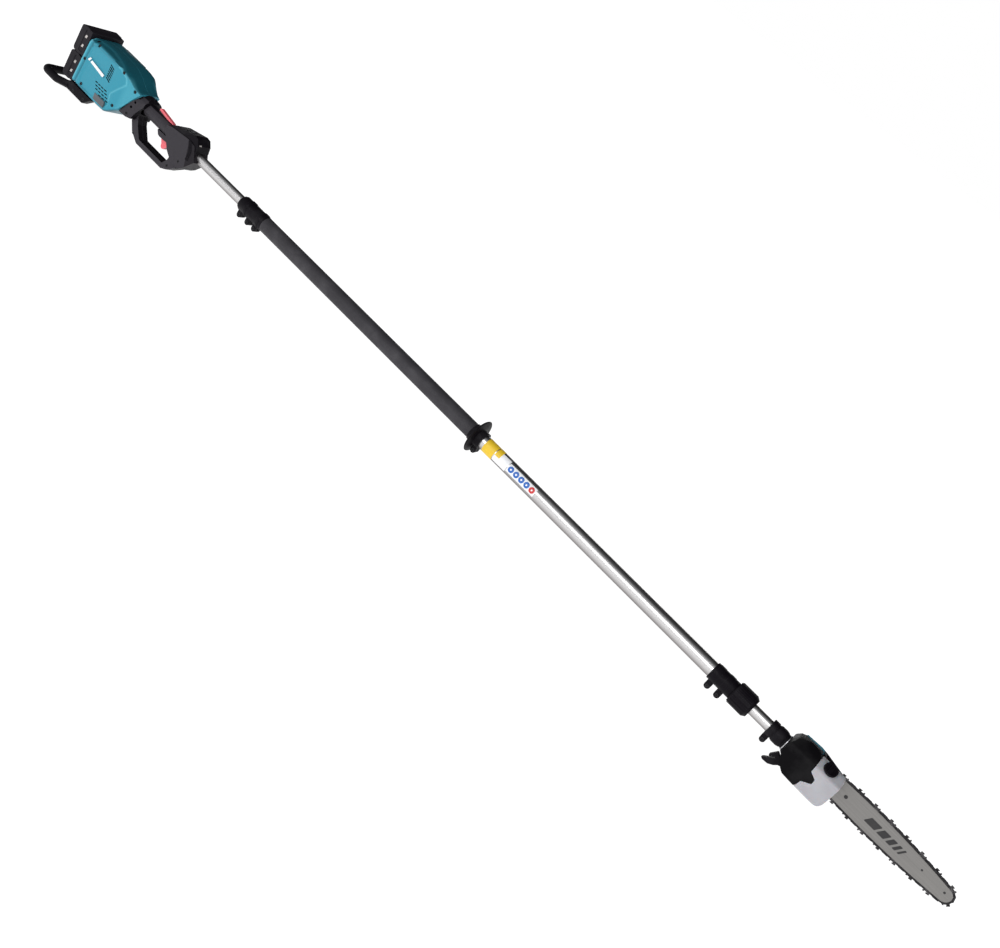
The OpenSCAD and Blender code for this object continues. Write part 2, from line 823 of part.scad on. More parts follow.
module front_holder() {
  color([0.14, 0.13, 0.15]) on_pole() difference() {
    union() {
      rod_x(front_holder_x, lock_sleeve_x - 0.5, 19.8);
      for (x = front_holder_at) {
        rod_x(x - 7, x + 7, 20.6);
        clamp_ear(x, 20, holder_low, holder_ear_w);
      }
      rod_x(lock_sleeve_x - 1, lock_sleeve_x + 24, 19.5);
    }
    rod_x(front_holder_x - 1, outer_tube_end + 0.3, outer_r + seat_gap);
    rod_x(outer_tube_end, lock_sleeve_x + 30, 16.9);
    block([front_holder_x - 1, -1.2, -40], [lock_sleeve_x - 6, 1.2, -5]);
    for (x = front_holder_at) clamp_ear_holes(x, holder_low, holder_ear_w);
  }
}

module clamp_screws() {
  color([0.3, 0.3, 0.32]) on_pole() {
    for (x = rear_clamp_at) clamp_screw(x, clamp_low, clamp_ear_w);
    for (x = front_holder_at) clamp_screw(x, holder_low, holder_ear_w);
    clamp_screw(1543, -35, 13);
  }
}

module locking_collet() {
  color([0.3, 0.3, 0.32]) on_pole() difference() {
    union() {
      rod_x(outer_tube_end + 1, lock_sleeve_x + 30, 16.85);
      rod_x(lock_sleeve_x + 25, lock_sleeve_end - 6, 18.5);
    }
    rod_x(2200, 2400, tube_r + run_gap);
    // Three slots make the collet springy
    for (a = [60, 180, 300]) {
      rotate([a, 0, 0]) block([lock_sleeve_x - 8, -0.8, 5], [lock_sleeve_end, 0.8, 25]);
    }
  }
}

module lock_sleeve() {
  rib_count = 16;
  color([0.16, 0.16, 0.17]) on_pole() difference() {
    union() {
      translate([lock_sleeve_x, 0, 0]) rotate([0, 90, 0]) rotate_extrude()
        polygon([[13, 0], [lock_sleeve_d / 2 - 2, 0], [lock_sleeve_d / 2 - 0.9, 3],
                 [lock_sleeve_d / 2 - 0.9, 42], [lock_sleeve_d / 2 - 5, 48], [13, 48]]);
      for (i = [0:rib_count - 1]) {
        rotate([i * 360 / rib_count, 0, 0])
          block([lock_sleeve_x + 3, -2.6, lock_sleeve_d / 2 - 3], [lock_sleeve_x + 41, 2.6, lock_sleeve_d / 2]);
      }
    }
    rod_x(lock_sleeve_x - 1, lock_sleeve_end - 5, 19.9);
    rod_x(lock_sleeve_x - 1, lock_sleeve_end + 1, tube_r + 0.5);
  }
}

module inner_tube() {
  color([0.75, 0.75, 0.77]) on_pole() tube_x(inner_tube_x, head_clamp_x + 37, tube_r, tube_bore_r);
}

module slide_bush() {
  color([0.85, 0.85, 0.8]) on_pole() difference() {
    rod_x(inner_tube_x - 2, inner_tube_x + 31, outer_bore_r - run_gap);
    rod_x(inner_tube_x - seat_gap, inner_tube_x + 32, tube_r + seat_gap);
    rod_x(inner_tube_x - 3, inner_tube_x + 1, front_shaft_r + run_gap);
  }
}

// ---------- Cutting head drive ----------

pinion_x0 = sprocket_x - 14;
pinion_x1 = sprocket_x - 10;
pinion_tip_r = 7;
pinion_root_r = 4.6;
face_root_y = 7.9;
face_tip_y = 4.8;

module front_drive_shaft() {
  color([0.6, 0.6, 0.63]) on_pole() difference() {
    union() {
      rod_x(inner_tube_x - 2, head_x + 14, front_shaft_r);
      rod_x(head_x + 14 - eps, pinion_x1 + 0.5, 3.4);
    }
    hex_x(inner_tube_x - 5, 2330, shaft_hex_r + 0.25);
  }
}

module pinion_gear() {
  color([0.55, 0.55, 0.58]) on_pole() translate([pinion_x0, 0, 0]) rotate([0, 90, 0]) difference() {
    linear_extrude(height = pinion_x1 - pinion_x0) union() {
      circle(r = pinion_root_r);
      for (i = [0:pinion_teeth - 1]) {
        rotate(i * 360 / pinion_teeth)
          polygon([[pinion_root_r - 0.6, -1.35], [5.2, -1.15], [pinion_tip_r, -0.5], [pinion_tip_r, 0.5],
                   [5.2, 1.15], [pinion_root_r - 0.6, 1.35]]);
      }
    }
    translate([0, 0, -1]) cylinder(h = 10, r = 3.4);
  }
}

module face_gear() {
  color([0.55, 0.55, 0.58]) on_pole() translate([sprocket_x, 0, 0]) difference() {
    union() {
      rod_y(0, 0, face_root_y, 10.9, 14.5);
      for (i = [0:face_teeth - 1]) {
        rotate([0, (i + 0.5) * 360 / face_teeth, 0]) intersection() {
          section(-14.4, -10)
            polygon([[face_root_y + eps, -0.95], [face_tip_y, -0.45], [face_tip_y, 0.45], [face_root_y + eps, 0.95]]);
          rod_y(0, 0, 0, 20, 14.5);
        }
      }
    }
    rod_y(0, 0, 0, 20, 4);
  }
}

module sprocket_shaft() {
  color([0.6, 0.6, 0.63]) on_pole() {
    rod_y(sprocket_x, 0, -8.8, bar_plane + 6, 4);
  }
}

module drive_sprocket() {
  color([0.5, 0.5, 0.53]) on_pole() translate([sprocket_x, bar_plane, 0]) difference() {
    union() {
      // Two flanges that carry the side links, and the toothed rim between them
      for (s = [-1, 1]) rod_y(0, 0, s * 1.5 - 0.5, s * 1.5 + 0.5, 14.6);
      rod_y(0, 0, -2.8, 2.8, 7);
      side(-1.1, 1.1) union() {
        circle(r = 8.4);
        for (i = [0:5]) rotate(i * 60) polygon([[7.5, -2.4], [10.2, -1.2], [10.2, 1.2], [7.5, 2.4]]);
      }
    }
    rod_y(0, 0, -20, 20, 4);
  }
}

// ---------- Cutting head body ----------

// Height of the sloping shoulder of the head at the sideways place y
cap_tilt = 27;
function shoulder_z(y) = 25 + (y + 37) * tan(cap_tilt);

// Cross-section that the head cover and the oil tank share: an upright face and a shoulder above it
module head_section(t, y_in, rise) {
  polygon([[y_in, 25 + (y_in + 37) * tan(rise) - t], [-37 + t / 2, 25 - t], [-40 + t, 20 - t], [-40 + t, -30 + t],
           [-34, -38.5 + t], [y_in, -38.5 + t]]);
}

module head_clamp() {
  x = head_clamp_x;
  color([0.14, 0.13, 0.15]) on_pole() difference() {
    union() {
      rod_x(x, x + 13, 18.5);
      rod_x(x + 12, x + 16, 16.8);
      translate([x, 0, 0]) rotate([0, 90, 0]) rotate_extrude()
        polygon([[12, 15], [17.5, 15], [19, 19], [19.2, 30], [18, 36], [16.5, 38], [16.5, 42], [12, 42]]);
      clamp_ear(head_clamp_at, 17, -34, 13);
    }
    rod_x(x - 1, x + 37.5, tube_r + seat_gap);
    rod_x(x, x + 50, 8);
    block([x - 1, -1.2, -40], [x + 14, 1.2, -5]);
    clamp_ear_holes(head_clamp_at, -34, 13);
  }
}

module head_clamp_screw() {
  color([0.3, 0.3, 0.32]) on_pole() clamp_screw(head_clamp_at, -34, 13);
}

module gear_case() {
  color([0.6, 0.6, 0.63]) on_pole() difference() {
    union() {
      rod_x(head_clamp_x + 42.2, head_x + 0.9, 18);
      side(-11, bar_plane - 3.2) polygon([[head_x + 0.8, -16], [head_x + 0.8, 22], [2432, 32], [2441, 36],
                                          [2484, 36], [2484, -34], [2446, -32]]);
      side(-2, bar_plane - 3.2) polygon([[2484 - eps, 30.5], [tank_end - 4, 29], [tank_end - 1, 26],
                                         [tank_end - 1, -27], [tank_end - 4, -30], [2484 - eps, -34]]);
      // Pads that the guide bar is clamped against
      side(0, bar_plane - bar_t / 2 - 0.05) polygon([[2496, -9], [2496, 9], [tank_end - 1, 9], [tank_end - 1, -9]]);
    }
    rod_x(head_clamp_x + 40, head_x + 8, 8);
    rod_x(head_x + 7, head_x + 15, front_shaft_r + run_gap);
    // Gear chamber
    block([head_x + 15, -7.5, -16], [2482, 11.3, 16]);
    rod_y(sprocket_x, 0, -9, 30, 4 + run_gap);
    for (x = [2508, 2531]) rod_y(x, 0, 5, 30, 3.55);
    rod_y(2519, -14, 2, 30, 1.85);
    // Bore for the oil pump, open at the front
    translate([0, 2, -24]) rod_x(2451.5, 2487, 5 + seat_gap);
  }
}

module oil_pump() {
  color([0.75, 0.65, 0.4]) on_pole() {
    translate([0, 2, -24]) rod_x(2452, 2482, 5);
  }
}

module head_cover() {
  edge = [[head_x + 1, 22], [head_x + 1, 2], [2428, -8], [2435, -18], [2446, -28], [2460, -34], [2485.7, -38.5],
          [2487.5, -17.6], [2505, -6.4], [2504, 3.4], [2488.5, 11.4], [2486.5, 38.5], [2480, 42], [2470, 45],
          [2453, 44.5], [2438, 40], [2429, 32]];
  color([0.2, 0.2, 0.22]) on_pole() difference() {
    intersection() {
      side(-41, -11.3) polygon(edge);
      section(head_x, 2510) head_section(0, -11.2, 38);
    }
    intersection() {
      side(-37.5, -10) polygon([[head_x + 4, 20], [head_x + 4, 2], [2437.5, -16], [2447.5, -25.5], [2461, -31],
                                [2483, -35], [2484.5, -19], [2484, 8], [2483.5, 34], [2440, 34], [2431, 29]]);
      section(head_x, 2510) head_section(2.6, -8, 38);
    }
    rod_y(2442, 17, -45, -30, 1.9);
    rod_y(2442, 17, -45, -38, 3.6);
  }
}

module branch_hook() {
  color([0.12, 0.12, 0.13]) on_pole() side(-9.5, -1) {
    polygon([[2424, -24], [2415.5, -39.5], [2418, -43], [2427.5, -35.5], [2429.5, -37.5], [2412, -52], [2409, -56],
             [2414, -58.5], [2426, -57.5], [2436, -51], [2442, -44], [2462, -34.8], [2442, -33], [2425.6, -22.6]]);
  }
}

cap_x = 2513;
cap_y = -20.5;

// Puts children on the tank's shoulder, with z along the axis of the filler
module at_cap() {
  translate([cap_x, cap_y, shoulder_z(cap_y)]) rotate([cap_tilt, 0, 0]) children();
}

module oil_tank() {
  outline = [[2487.4, 37], [2489.4, 12], [2505.2, 4], [2506.2, -7], [2488.6, -18.2], [2486.6, -40],
             [tank_end - 18, -40], [tank_end - 9, -36.5], [tank_end - 3, -29], [tank_end, -18], [tank_end, 31],
             [tank_end - 5, 37]];
  inside = [[2491.5, 33.5], [2493, 14], [2508.4, 6.4], [2509.6, -8.6], [2492, -20], [2490.4, -36.5],
            [tank_end - 18, -36.5], [tank_end - 11, -33.5], [tank_end - 6, -27], [tank_end - 3, -18],
            [tank_end - 3, 33.5]];
  color([0.82, 0.83, 0.85]) on_pole() difference() {
    intersection() {
      side(-41, -2.2) polygon(outline);
      section(2480, 2560) head_section(0, -2.2, cap_tilt);
    }
    intersection() {
      side(-37.5, -4.7) polygon(inside);
      section(2480, 2560) head_section(2.6, -4.7, cap_tilt);
    }
    at_cap() translate([0, 0, -20]) cylinder(h = 40, r = 11.3);
  }
}

module oil_cap() {
  color([0.12, 0.12, 0.13]) on_pole() at_cap() difference() {
    union() {
      translate([0, 0, -7]) cylinder(h = 8, r = 11);
      translate([0, 0, 0.5]) cylinder(h = 5, r = 14.5);
    }
    // Two finger pockets leave a bar grip across the cap
    for (s = [0, 180]) {
      rotate([0, 0, s]) translate([0, 0, 2.4]) linear_extrude(height = 5) intersection() {
        circle(r = 12);
        translate([3, -15]) square([12, 30]);
      }
    }
  }
}

module sprocket_cover() {
  outline = [[2436.5, -16], [2436.5, 22], [2443, 31], [2478, 33], [2494, 31], [tank_end - 6, 22], [tank_end - 2, 14],
             [tank_end - 2, -14], [tank_end - 6, -22], [2494, -31], [2450, -33], [2441, -28]];
  inside = [[2438.6, -15], [2438.6, 21.5], [2444.5, 29.2], [2478, 31], [2494, 29], [2497, 60], [2600, 60],
            [2600, -60], [2497, -60], [2494, -29], [2451, -31], [2443, -26.5]];
  color([0.16, 0.45, 0.53]) on_pole() difference() {
    side(bar_plane - 2.9, bar_plane + 14) polygon(outline);
    side(bar_plane - 4, bar_plane + 11.5) polygon(inside);
    for (x = [2508, 2531]) rod_y(x, 0, 0, 60, 3.6);
  }
  // Pillars that press the guide bar against the gear case
  color([0.16, 0.45, 0.53]) on_pole() for (x = [2508, 2531]) difference() {
    rod_y(x, 0, bar_plane + bar_t / 2 + 0.05, bar_plane + 11.5, 7);
    rod_y(x, 0, 0, 60, 3.6);
  }
}

module bar_studs() {
  color([0.7, 0.7, 0.72]) on_pole() {
    for (x = [2508, 2531]) rod_y(x, 0, 5.2, bar_plane + 19, 3.5);
  }
}

module bar_nuts() {
  color([0.45, 0.45, 0.48]) on_pole() {
    for (x = [2508, 2531]) difference() {
      translate([x, bar_plane + 18.2, 0]) rotate([90, 0, 0]) cylinder(h = 4.1, r = 6.5, $fn = 6);
      rod_y(x, 0, 0, 60, 3.5 + seat_gap);
    }
  }
}

module tension_screw() {
  color([0.7, 0.7, 0.72]) on_pole() {
    rod_y(2519, -14, 3, bar_plane + 1, 1.8);
  }
}

// ---------- Guide bar and chain ----------

// Outline of the guide bar, drawn inside the rivet line by the distance inset
module bar_outline(inset) {
  r_nose = path_nose_r - inset;
  top = concat(
    arc(widest_x, path_h - drive_wide_r, drive_wide_r - inset, 90 + drive_wide_a * 0.83, 90, 8),
    arc(widest_x, path_h - nose_wide_r, nose_wide_r - inset, 90, 90 - nose_wide_a, 8),
    arc(nose_x, 0, r_nose, 90 - nose_wide_a, 0, 12));
  polygon(concat(top, [for (i = [len(top) - 2:-1:0]) [top[i][0], -top[i][1]]]));
}

module guide_bar() {
  groove = 6.6;
  color([0.55, 0.54, 0.53]) on_pole() translate([0, bar_plane, 0]) difference() {
    union() {
      for (s = [-1, 1]) side(s * (bar_t / 2 + 0.7) / 2 - 0.65, s * (bar_t / 2 + 0.7) / 2 + 0.65) bar_outline(rivet_lift);
      side(-1, 1) bar_outline(rivet_lift + groove);
    }
    // Slot for the bar studs and the hole for the tension screw
    side(-3, 3) {
      translate([2502, 0]) circle(r = 4);
      translate([2502, -4]) square([36, 8]);
      translate([2538, 0]) circle(r = 4);
      translate([2519, -14]) circle(r = 2);
      translate([2571, 0]) circle(r = 2.6);
    }
    // Room for the nose sprocket between the side plates
    rod_y(nose_x, 0, -0.7, 0.7, 10.6);
    rod_y(nose_x, 0, -3, 3, 2.2);
  }
  // Rivet that the nose sprocket turns on
  color([0.55, 0.54, 0.53]) on_pole() rod_y(nose_x, 0, bar_plane - bar_t / 2 - 0.2, bar_plane + bar_t / 2 + 0.2, 2.2 + eps);
}

module nose_sprocket() {
  color([0.6, 0.6, 0.62]) on_pole() translate([nose_x, bar_plane, 0]) side(-0.55, 0.55) difference() {
    union() {
      circle(r = 7.2);
      for (i = [0:8]) rotate(i * 40) polygon([[6.5, -1.6], [9.6, -0.8], [9.6, 0.8], [6.5, 1.6]]);
    }
    circle(r = 2.2 + eps + run_gap);
  }
}

// Puts a chain part on the rivet line, centred at u, lying along the chord of one rivet pitch
module on_chain(u) {
  p = path_point(u - link_step / 4);
  q = path_point(u + link_step / 4);
  mid = (p + q) / 2;
  a = atan2(q[1] - p[1], q[0] - p[0]);
  translate([mid[0], bar_plane, mid[1]]) rotate([0, -a, 0]) children();
}

rivet_x = link_step / 4;

// Side link outline with round ends
module strap_outline() {
  for (s = [-1, 1]) translate([s * rivet_x, 0]) circle(r = 2.6);
  translate([-rivet_x, -1.9]) square([2 * rivet_x, 4.4]);
}

module chain_drive_links() {
  color([0.2, 0.2, 0.21]) on_pole() for (i = [0:link_count - 1]) {
    on_chain((i + 0.5) * link_step) side(-0.55, 0.55) difference() {
      polygon([[-rivet_x - 2.4, -1], [-rivet_x - 1.4, 2.2], [rivet_x + 1.4, 2.2], [rivet_x + 2.4, -1],
               [rivet_x + 1.4, -2.2], [2.4, -3.4], [-1.2, -7.6], [-2.6, -3.6], [-rivet_x - 1.4, -2.2]]);
      for (s = [-1, 1]) translate([s * rivet_x, 0]) circle(r = 1.45);
    }
  }
}

// A cutter sits on every second pair of side links, on alternating sides
function has_cutter(i) = i % 2 == 0;
function cutter_side(i) = i % 4 == 0 ? 1 : -1;

module chain_tie_straps() {
  color([0.17, 0.17, 0.18]) on_pole() for (i = [1:link_count]) {
    on_chain(i * link_step) {
      for (s = [-1, 1]) {
        if (!has_cutter(i) || s != cutter_side(i)) side(s * 1.2 - 0.55, s * 1.2 + 0.55) strap_outline();
      }
      for (s = [-1, 1]) rod_y(s * rivet_x, 0, -1.8, 1.8, 1.3);
    }
  }
}

module chain_cutters() {
  color([0.5, 0.5, 0.52]) on_pole() for (i = [2:2:link_count]) {
    s = cutter_side(i);
    on_chain(i * link_step) {
      side(s * 1.2 - 0.55, s * 1.2 + 0.55) difference() {
        union() {
          strap_outline();
          // Depth gauge in front and the tooth behind it
          polygon([[rivet_x + 2.2, 0], [rivet_x + 2, 5], [rivet_x - 0.8, 5.4], [rivet_x - 1.4, 2],
                   [-rivet_x + 3, 2], [-rivet_x + 4, 6.3], [-rivet_x - 3, 5.6], [-rivet_x - 2.2, 0]]);
        }
        for (k = [-1, 1]) translate([k * rivet_x, 0]) circle(r = 1.4);
      }
      side(min(s * 1.2, -s * 1.6), max(s * 1.2, -s * 1.6))
        polygon([[-rivet_x + 4, 5.5], [-rivet_x + 4, 6.3], [-rivet_x - 3, 5.6], [-rivet_x - 2.8, 4.9]]);
    }
  }
}

// ---------- Drawing ----------

housing_right();
housing_left();
housing_screws();
battery_mount();
battery_terminals();
controller_board();
motor_stator();
shaft_bearings();
rear_guard();
motor_rotor();
cooling_fan();
rear_drive_shaft();
upper_battery_case();
upper_battery_cells();
upper_battery_button();
lower_battery_case();
lower_battery_cells();
lower_battery_button();
handle_right();
handle_left();
handle_screws();
trigger_switch();
trigger();
lock_off_lever();
control_panel();
power_button();
mode_button();
rear_tube();
rear_clamp();
outer_tube();
grip_sleeve();
hand_guard();
front_holder();
clamp_screws();
locking_collet();
lock_sleeve();
inner_tube();
slide_bush();
front_drive_shaft();
head_clamp();
head_clamp_screw();
gear_case();
pinion_gear();
face_gear();
sprocket_shaft();
drive_sprocket();
head_cover();
branch_hook();
oil_tank();
oil_cap();
oil_pump();
sprocket_cover();
bar_studs();
bar_nuts();
tension_screw();
guide_bar();
nose_sprocket();
chain_drive_links();
chain_tie_straps();
chain_cutters();
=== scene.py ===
import json
import math

import bmesh
import bpy
from mathutils import Matrix, Vector


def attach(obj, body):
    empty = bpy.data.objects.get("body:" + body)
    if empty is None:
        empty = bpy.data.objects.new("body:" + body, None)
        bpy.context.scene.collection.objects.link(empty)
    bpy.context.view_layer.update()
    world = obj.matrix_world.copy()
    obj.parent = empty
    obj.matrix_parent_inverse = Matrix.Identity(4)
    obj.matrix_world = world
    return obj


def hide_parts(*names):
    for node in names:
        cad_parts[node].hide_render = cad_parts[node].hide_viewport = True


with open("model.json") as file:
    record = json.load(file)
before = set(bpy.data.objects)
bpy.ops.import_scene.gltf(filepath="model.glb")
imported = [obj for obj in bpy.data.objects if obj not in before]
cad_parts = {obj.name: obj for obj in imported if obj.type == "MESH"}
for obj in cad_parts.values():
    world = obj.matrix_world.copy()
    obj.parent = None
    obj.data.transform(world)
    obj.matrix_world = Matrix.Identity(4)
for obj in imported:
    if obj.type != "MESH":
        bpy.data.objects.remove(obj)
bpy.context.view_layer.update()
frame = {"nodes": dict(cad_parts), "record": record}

# ---------- Camera and light ----------

# Where the camera stands in metres, how it is turned in degrees, and its lens and sensor in mm
CAMERA_AT = (0.8695, -2.0872, 1.0823)
AZIMUTH, ELEVATION, ROLL, PITCH = 16, 25, 44.845, 0.58577164
LENS, SENSOR = 40.14, 36
# Half the side of the floor in metres, how much it glows, and how far the camera sees
FLOOR_HALF, FLOOR_GLOW, SIGHT = 300, 0.97, 900
# How bright the surroundings are on the near side and on the far side, and how much height counts as far
SKY_NEAR, SKY_FAR, SKY_LEAN = 0.8, 0.03, 0.7
# Each area light: its name, its place, what it points at, its size in metres and its power in watts
LIGHTS = (("key", (-0.4, -3.4, 2.1), (0, 0, 0.05), (4.6, 1.4), 80),
          ("fill", (2.6, -2.2, 1.6), (0.9, 0, 0.1), (1.6, 1.2), 14),
          ("rear", (0, 3.4, 0.5), (0, 0, 0.1), (4, 0.8), 26))


def unit(v):
    return Vector(v).normalized()


def camera():
    """Looks at the tool from its right and above, rolled so that the pole runs diagonally."""
    az, el, roll, pitch = (math.radians(a) for a in (AZIMUTH, ELEVATION, ROLL, PITCH))
    level = Vector((0, math.cos(el), -math.sin(el)))
    pole = Vector((1, 0, 0))
    look = math.cos(az) * level - math.sin(az) * pole
    right = math.cos(az) * pole + math.sin(az) * level
    up = Vector((0, math.sin(el), math.cos(el)))
    look, up = (math.cos(pitch) * look - math.sin(pitch) * up,
                math.cos(pitch) * up + math.sin(pitch) * look)
    side = math.cos(roll) * right + math.sin(roll) * up
    top = -math.sin(roll) * right + math.cos(roll) * up
    cam = bpy.data.objects.new("camera", bpy.data.cameras.new("camera"))
    bpy.context.collection.objects.link(cam)
    m = Matrix.Identity(4)
    for i, axis in enumerate((side, top, -look)):
        for j in range(3):
            m[j][i] = axis[j]
    m.translation = CAMERA_AT
    cam.matrix_world = m
    cam.data.lens, cam.data.sensor_width = LENS, SENSOR
    cam.data.clip_start, cam.data.clip_end = 0.05, SIGHT
    bpy.context.scene.camera = cam


def area_light(name, place, target, size, power):
    light = bpy.data.lights.new(name, "AREA")
    light.shape, light.size, light.size_y = "RECTANGLE", size[0], size[1]
    light.energy = power
    o = bpy.data.objects.new(name, light)
    o.location = place
    o.rotation_mode = "QUATERNION"
    o.rotation_quaternion = (Vector(target) - Vector(place)).to_track_quat("-Z", "Y")
    bpy.context.collection.objects.link(o)


def studio():
    """Bright from the near side, dark above and behind, over a floor that glows a little of its own."""
    bpy.context.scene.view_settings.view_transform = "Standard"
    world = bpy.data.worlds.new("studio")
    bpy.context.scene.world = world
    world.use_nodes = True
    tree = world.node_tree
    split = tree.nodes.new("ShaderNodeSeparateXYZ")
    tree.links.new(tree.nodes.new("ShaderNodeTexCoord").outputs["Generated"], split.inputs[0])
    lean = tree.nodes.new("ShaderNodeMath")
    lean.operation = "MULTIPLY_ADD"
    lean.inputs[1].default_value = SKY_LEAN
    tree.links.new(split.outputs["Z"], lean.inputs[0])
    tree.links.new(split.outputs["Y"], lean.inputs[2])
    fade = tree.nodes.new("ShaderNodeMapRange")
    for key, number in (("From Min", -0.7), ("From Max", 0.8), ("To Min", SKY_NEAR), ("To Max", SKY_FAR)):
        fade.inputs[key].default_value = number
    tree.links.new(lean.outputs[0], fade.inputs["Value"])
    back = tree.nodes["Background"]
    back.inputs["Color"].default_value = (0.97, 0.98, 1, 1)
    tree.links.new(fade.outputs["Result"], back.inputs["Strength"])
    # Seen directly, the surroundings are as white as the floor
    plain = tree.nodes.new("ShaderNodeBackground")
    plain.inputs["Color"].default_value = (1, 1, 1, 1)
    mix = tree.nodes.new("ShaderNodeMixShader")
    tree.links.new(tree.nodes.new("ShaderNodeLightPath").outputs["Is Camera Ray"], mix.inputs[0])
    tree.links.new(back.outputs[0], mix.inputs[1])
    tree.links.new(plain.outputs[0], mix.inputs[2])
    tree.links.new(mix.outputs[0], tree.nodes["World Output"].inputs["Surface"])
    for light in LIGHTS:
        area_light(*light)
    mesh = bpy.data.meshes.new("floor")
    r = FLOOR_HALF
    mesh.from_pydata([(-r, -r, 0), (r, -r, 0), (r, r, 0), (-r, r, 0)], [], [(0, 1, 2, 3)])
    floor = bpy.data.objects.new("floor", mesh)
    bpy.context.collection.objects.link(floor)
    mat = bpy.data.materials.new("floor")
    mat.use_nodes = True
    node = mat.node_tree.nodes["Principled BSDF"]
    node.inputs["Base Color"].default_value = (0.3, 0.3, 0.3, 1)
    node.inputs["Roughness"].default_value = 0.9
    node.inputs["Emission Color"].default_value = (1, 1, 1, 1)
    node.inputs["Emission Strength"].default_value = FLOOR_GLOW
    mesh.materials.append(mat)


camera()
studio()

# ---------- Materials ----------


class Shader:
    """A material under construction: nodes are made with add() and joined with join()."""

    def __init__(self, name, colour, rough, metal=0.0, **sockets):
        self.mat = bpy.data.materials.new(name)
        self.mat.use_nodes = True
        self.tree = self.mat.node_tree
        self.out = self.tree.nodes["Principled BSDF"]
        self.colour = (*colour, 1)
        self.out.inputs["Base Color"].default_value = self.colour
        self.out.inputs["Roughness"].default_value = rough
        self.out.inputs["Metallic"].default_value = metal
        for key, value in sockets.items():
            self.out.inputs[key.replace("_", " ")].default_value = value
        self.rough = rough
        self.place = self.add("ShaderNodeTexCoord").outputs["Object"]
        self.tint = None

    def add(self, kind, **values):
        node = self.tree.nodes.new(kind)
        for key, value in values.items():
            setattr(node, key, value)
        return node

    def join(self, a, b):
        self.tree.links.new(a, b)

    def stretched(self, scale):
        node = self.add("ShaderNodeMapping")
        node.inputs["Scale"].default_value = scale
        self.join(self.place, node.inputs["Vector"])
        return node.outputs["Vector"]

    def noise(self, scale, detail, stretch):
        node = self.add("ShaderNodeTexNoise")
        node.inputs["Scale"].default_value = scale
        node.inputs["Detail"].default_value = detail
        self.join(self.stretched(stretch) if stretch else self.place, node.inputs["Vector"])
        return node.outputs["Fac"]

    def ranged(self, value, lo, hi, to_lo, to_hi):
        node = self.add("ShaderNodeMapRange")
        for key, number in (("From Min", lo), ("From Max", hi), ("To Min", to_lo), ("To Max", to_hi)):
            node.inputs[key].default_value = number
        self.join(value, node.inputs["Value"])
        return node.outputs["Result"]

    def blend(self, fac, colour):
        """Mixes a colour into the base colour where fac is 1."""
        node = self.add("ShaderNodeMix", data_type="RGBA")
        self.join(fac, node.inputs["Factor"])
        if self.tint is None:
            node.inputs["A"].default_value = self.colour
        else:
            self.join(self.tint, node.inputs["A"])
        node.inputs["B"].default_value = (*colour, 1)
        self.tint = node.outputs["Result"]
        self.join(self.tint, self.out.inputs["Base Color"])

    def shades(self, amount, scale, stretch=None):
        """Lighter and darker blotches of the base colour."""
        value = self.noise(scale, 4.0, stretch)
        dark = [c * (1 - amount) for c in self.colour[:3]]
        light = [min(1.0, c * (1 + amount) + 0.1 * amount) for c in self.colour[:3]]
        self.blend(self.ranged(value, 0.5, 0.72, 0, 1), light)
        self.blend(self.ranged(value, 0.5, 0.28, 0, 1), dark)

    def uneven_gloss(self, amount, scale, stretch=None):
        """Patches that shine a little more or less than the rest."""
        value = self.noise(scale, 5.0, stretch)
        rough = self.ranged(value, 0.3, 0.7, self.rough - amount, self.rough + amount)
        self.join(rough, self.out.inputs["Roughness"])

    def edges(self, colour, radius, strength):
        """Rubbed edges: where a rounded normal leaves the true one."""
        bevel = self.add("ShaderNodeBevel", samples=4)
        bevel.inputs["Radius"].default_value = radius
        geo = self.add("ShaderNodeNewGeometry")
        dot = self.add("ShaderNodeVectorMath", operation="DOT_PRODUCT")
        self.join(bevel.outputs["Normal"], dot.inputs[0])
        self.join(geo.outputs["Normal"], dot.inputs[1])
        self.blend(self.ranged(dot.outputs["Value"], 0.985, 0.86, 0, strength), colour)

    def bump(self, scale, depth, detail=2.0, stretch=None):
        """Surface grain, on top of any grain that is already there."""
        node = self.add("ShaderNodeBump")
        node.inputs["Strength"].default_value = 1.0
        node.inputs["Distance"].default_value = depth
        self.join(self.noise(scale, detail, stretch), node.inputs["Height"])
        if self.out.inputs["Normal"].links:
            self.join(self.out.inputs["Normal"].links[0].from_socket, node.inputs["Normal"])
        self.join(node.outputs["Normal"], self.out.inputs["Normal"])

    def facing(self, axis, lo, hi, both=True):
        """0 to 1 as the surface turns towards an axis of the piece (both ways round if both)."""
        split = self.add("ShaderNodeSeparateXYZ")
        self.join(self.add("ShaderNodeTexCoord").outputs["Normal"], split.inputs[0])
        value = split.outputs[axis]
        if both:
            node = self.add("ShaderNodeMath", operation="ABSOLUTE")
            self.join(value, node.inputs[0])
            value = node.outputs[0]
        return self.ranged(value, lo, hi, 0, 1)

    def along(self, axis, lo, hi):
        """0 to 1 along an axis of the piece, in metres."""
        split = self.add("ShaderNodeSeparateXYZ")
        self.join(self.place, split.inputs[0])
        return self.ranged(split.outputs[axis], lo, hi, 0, 1)

    def past(self, direction, lo, hi):
        """0 to 1 along any direction across the piece, in metres."""
        dot = self.add("ShaderNodeVectorMath", operation="DOT_PRODUCT")
        self.join(self.place, dot.inputs[0])
        dot.inputs[1].default_value = direction
        return self.ranged(dot.outputs["Value"], lo, hi, 0, 1)


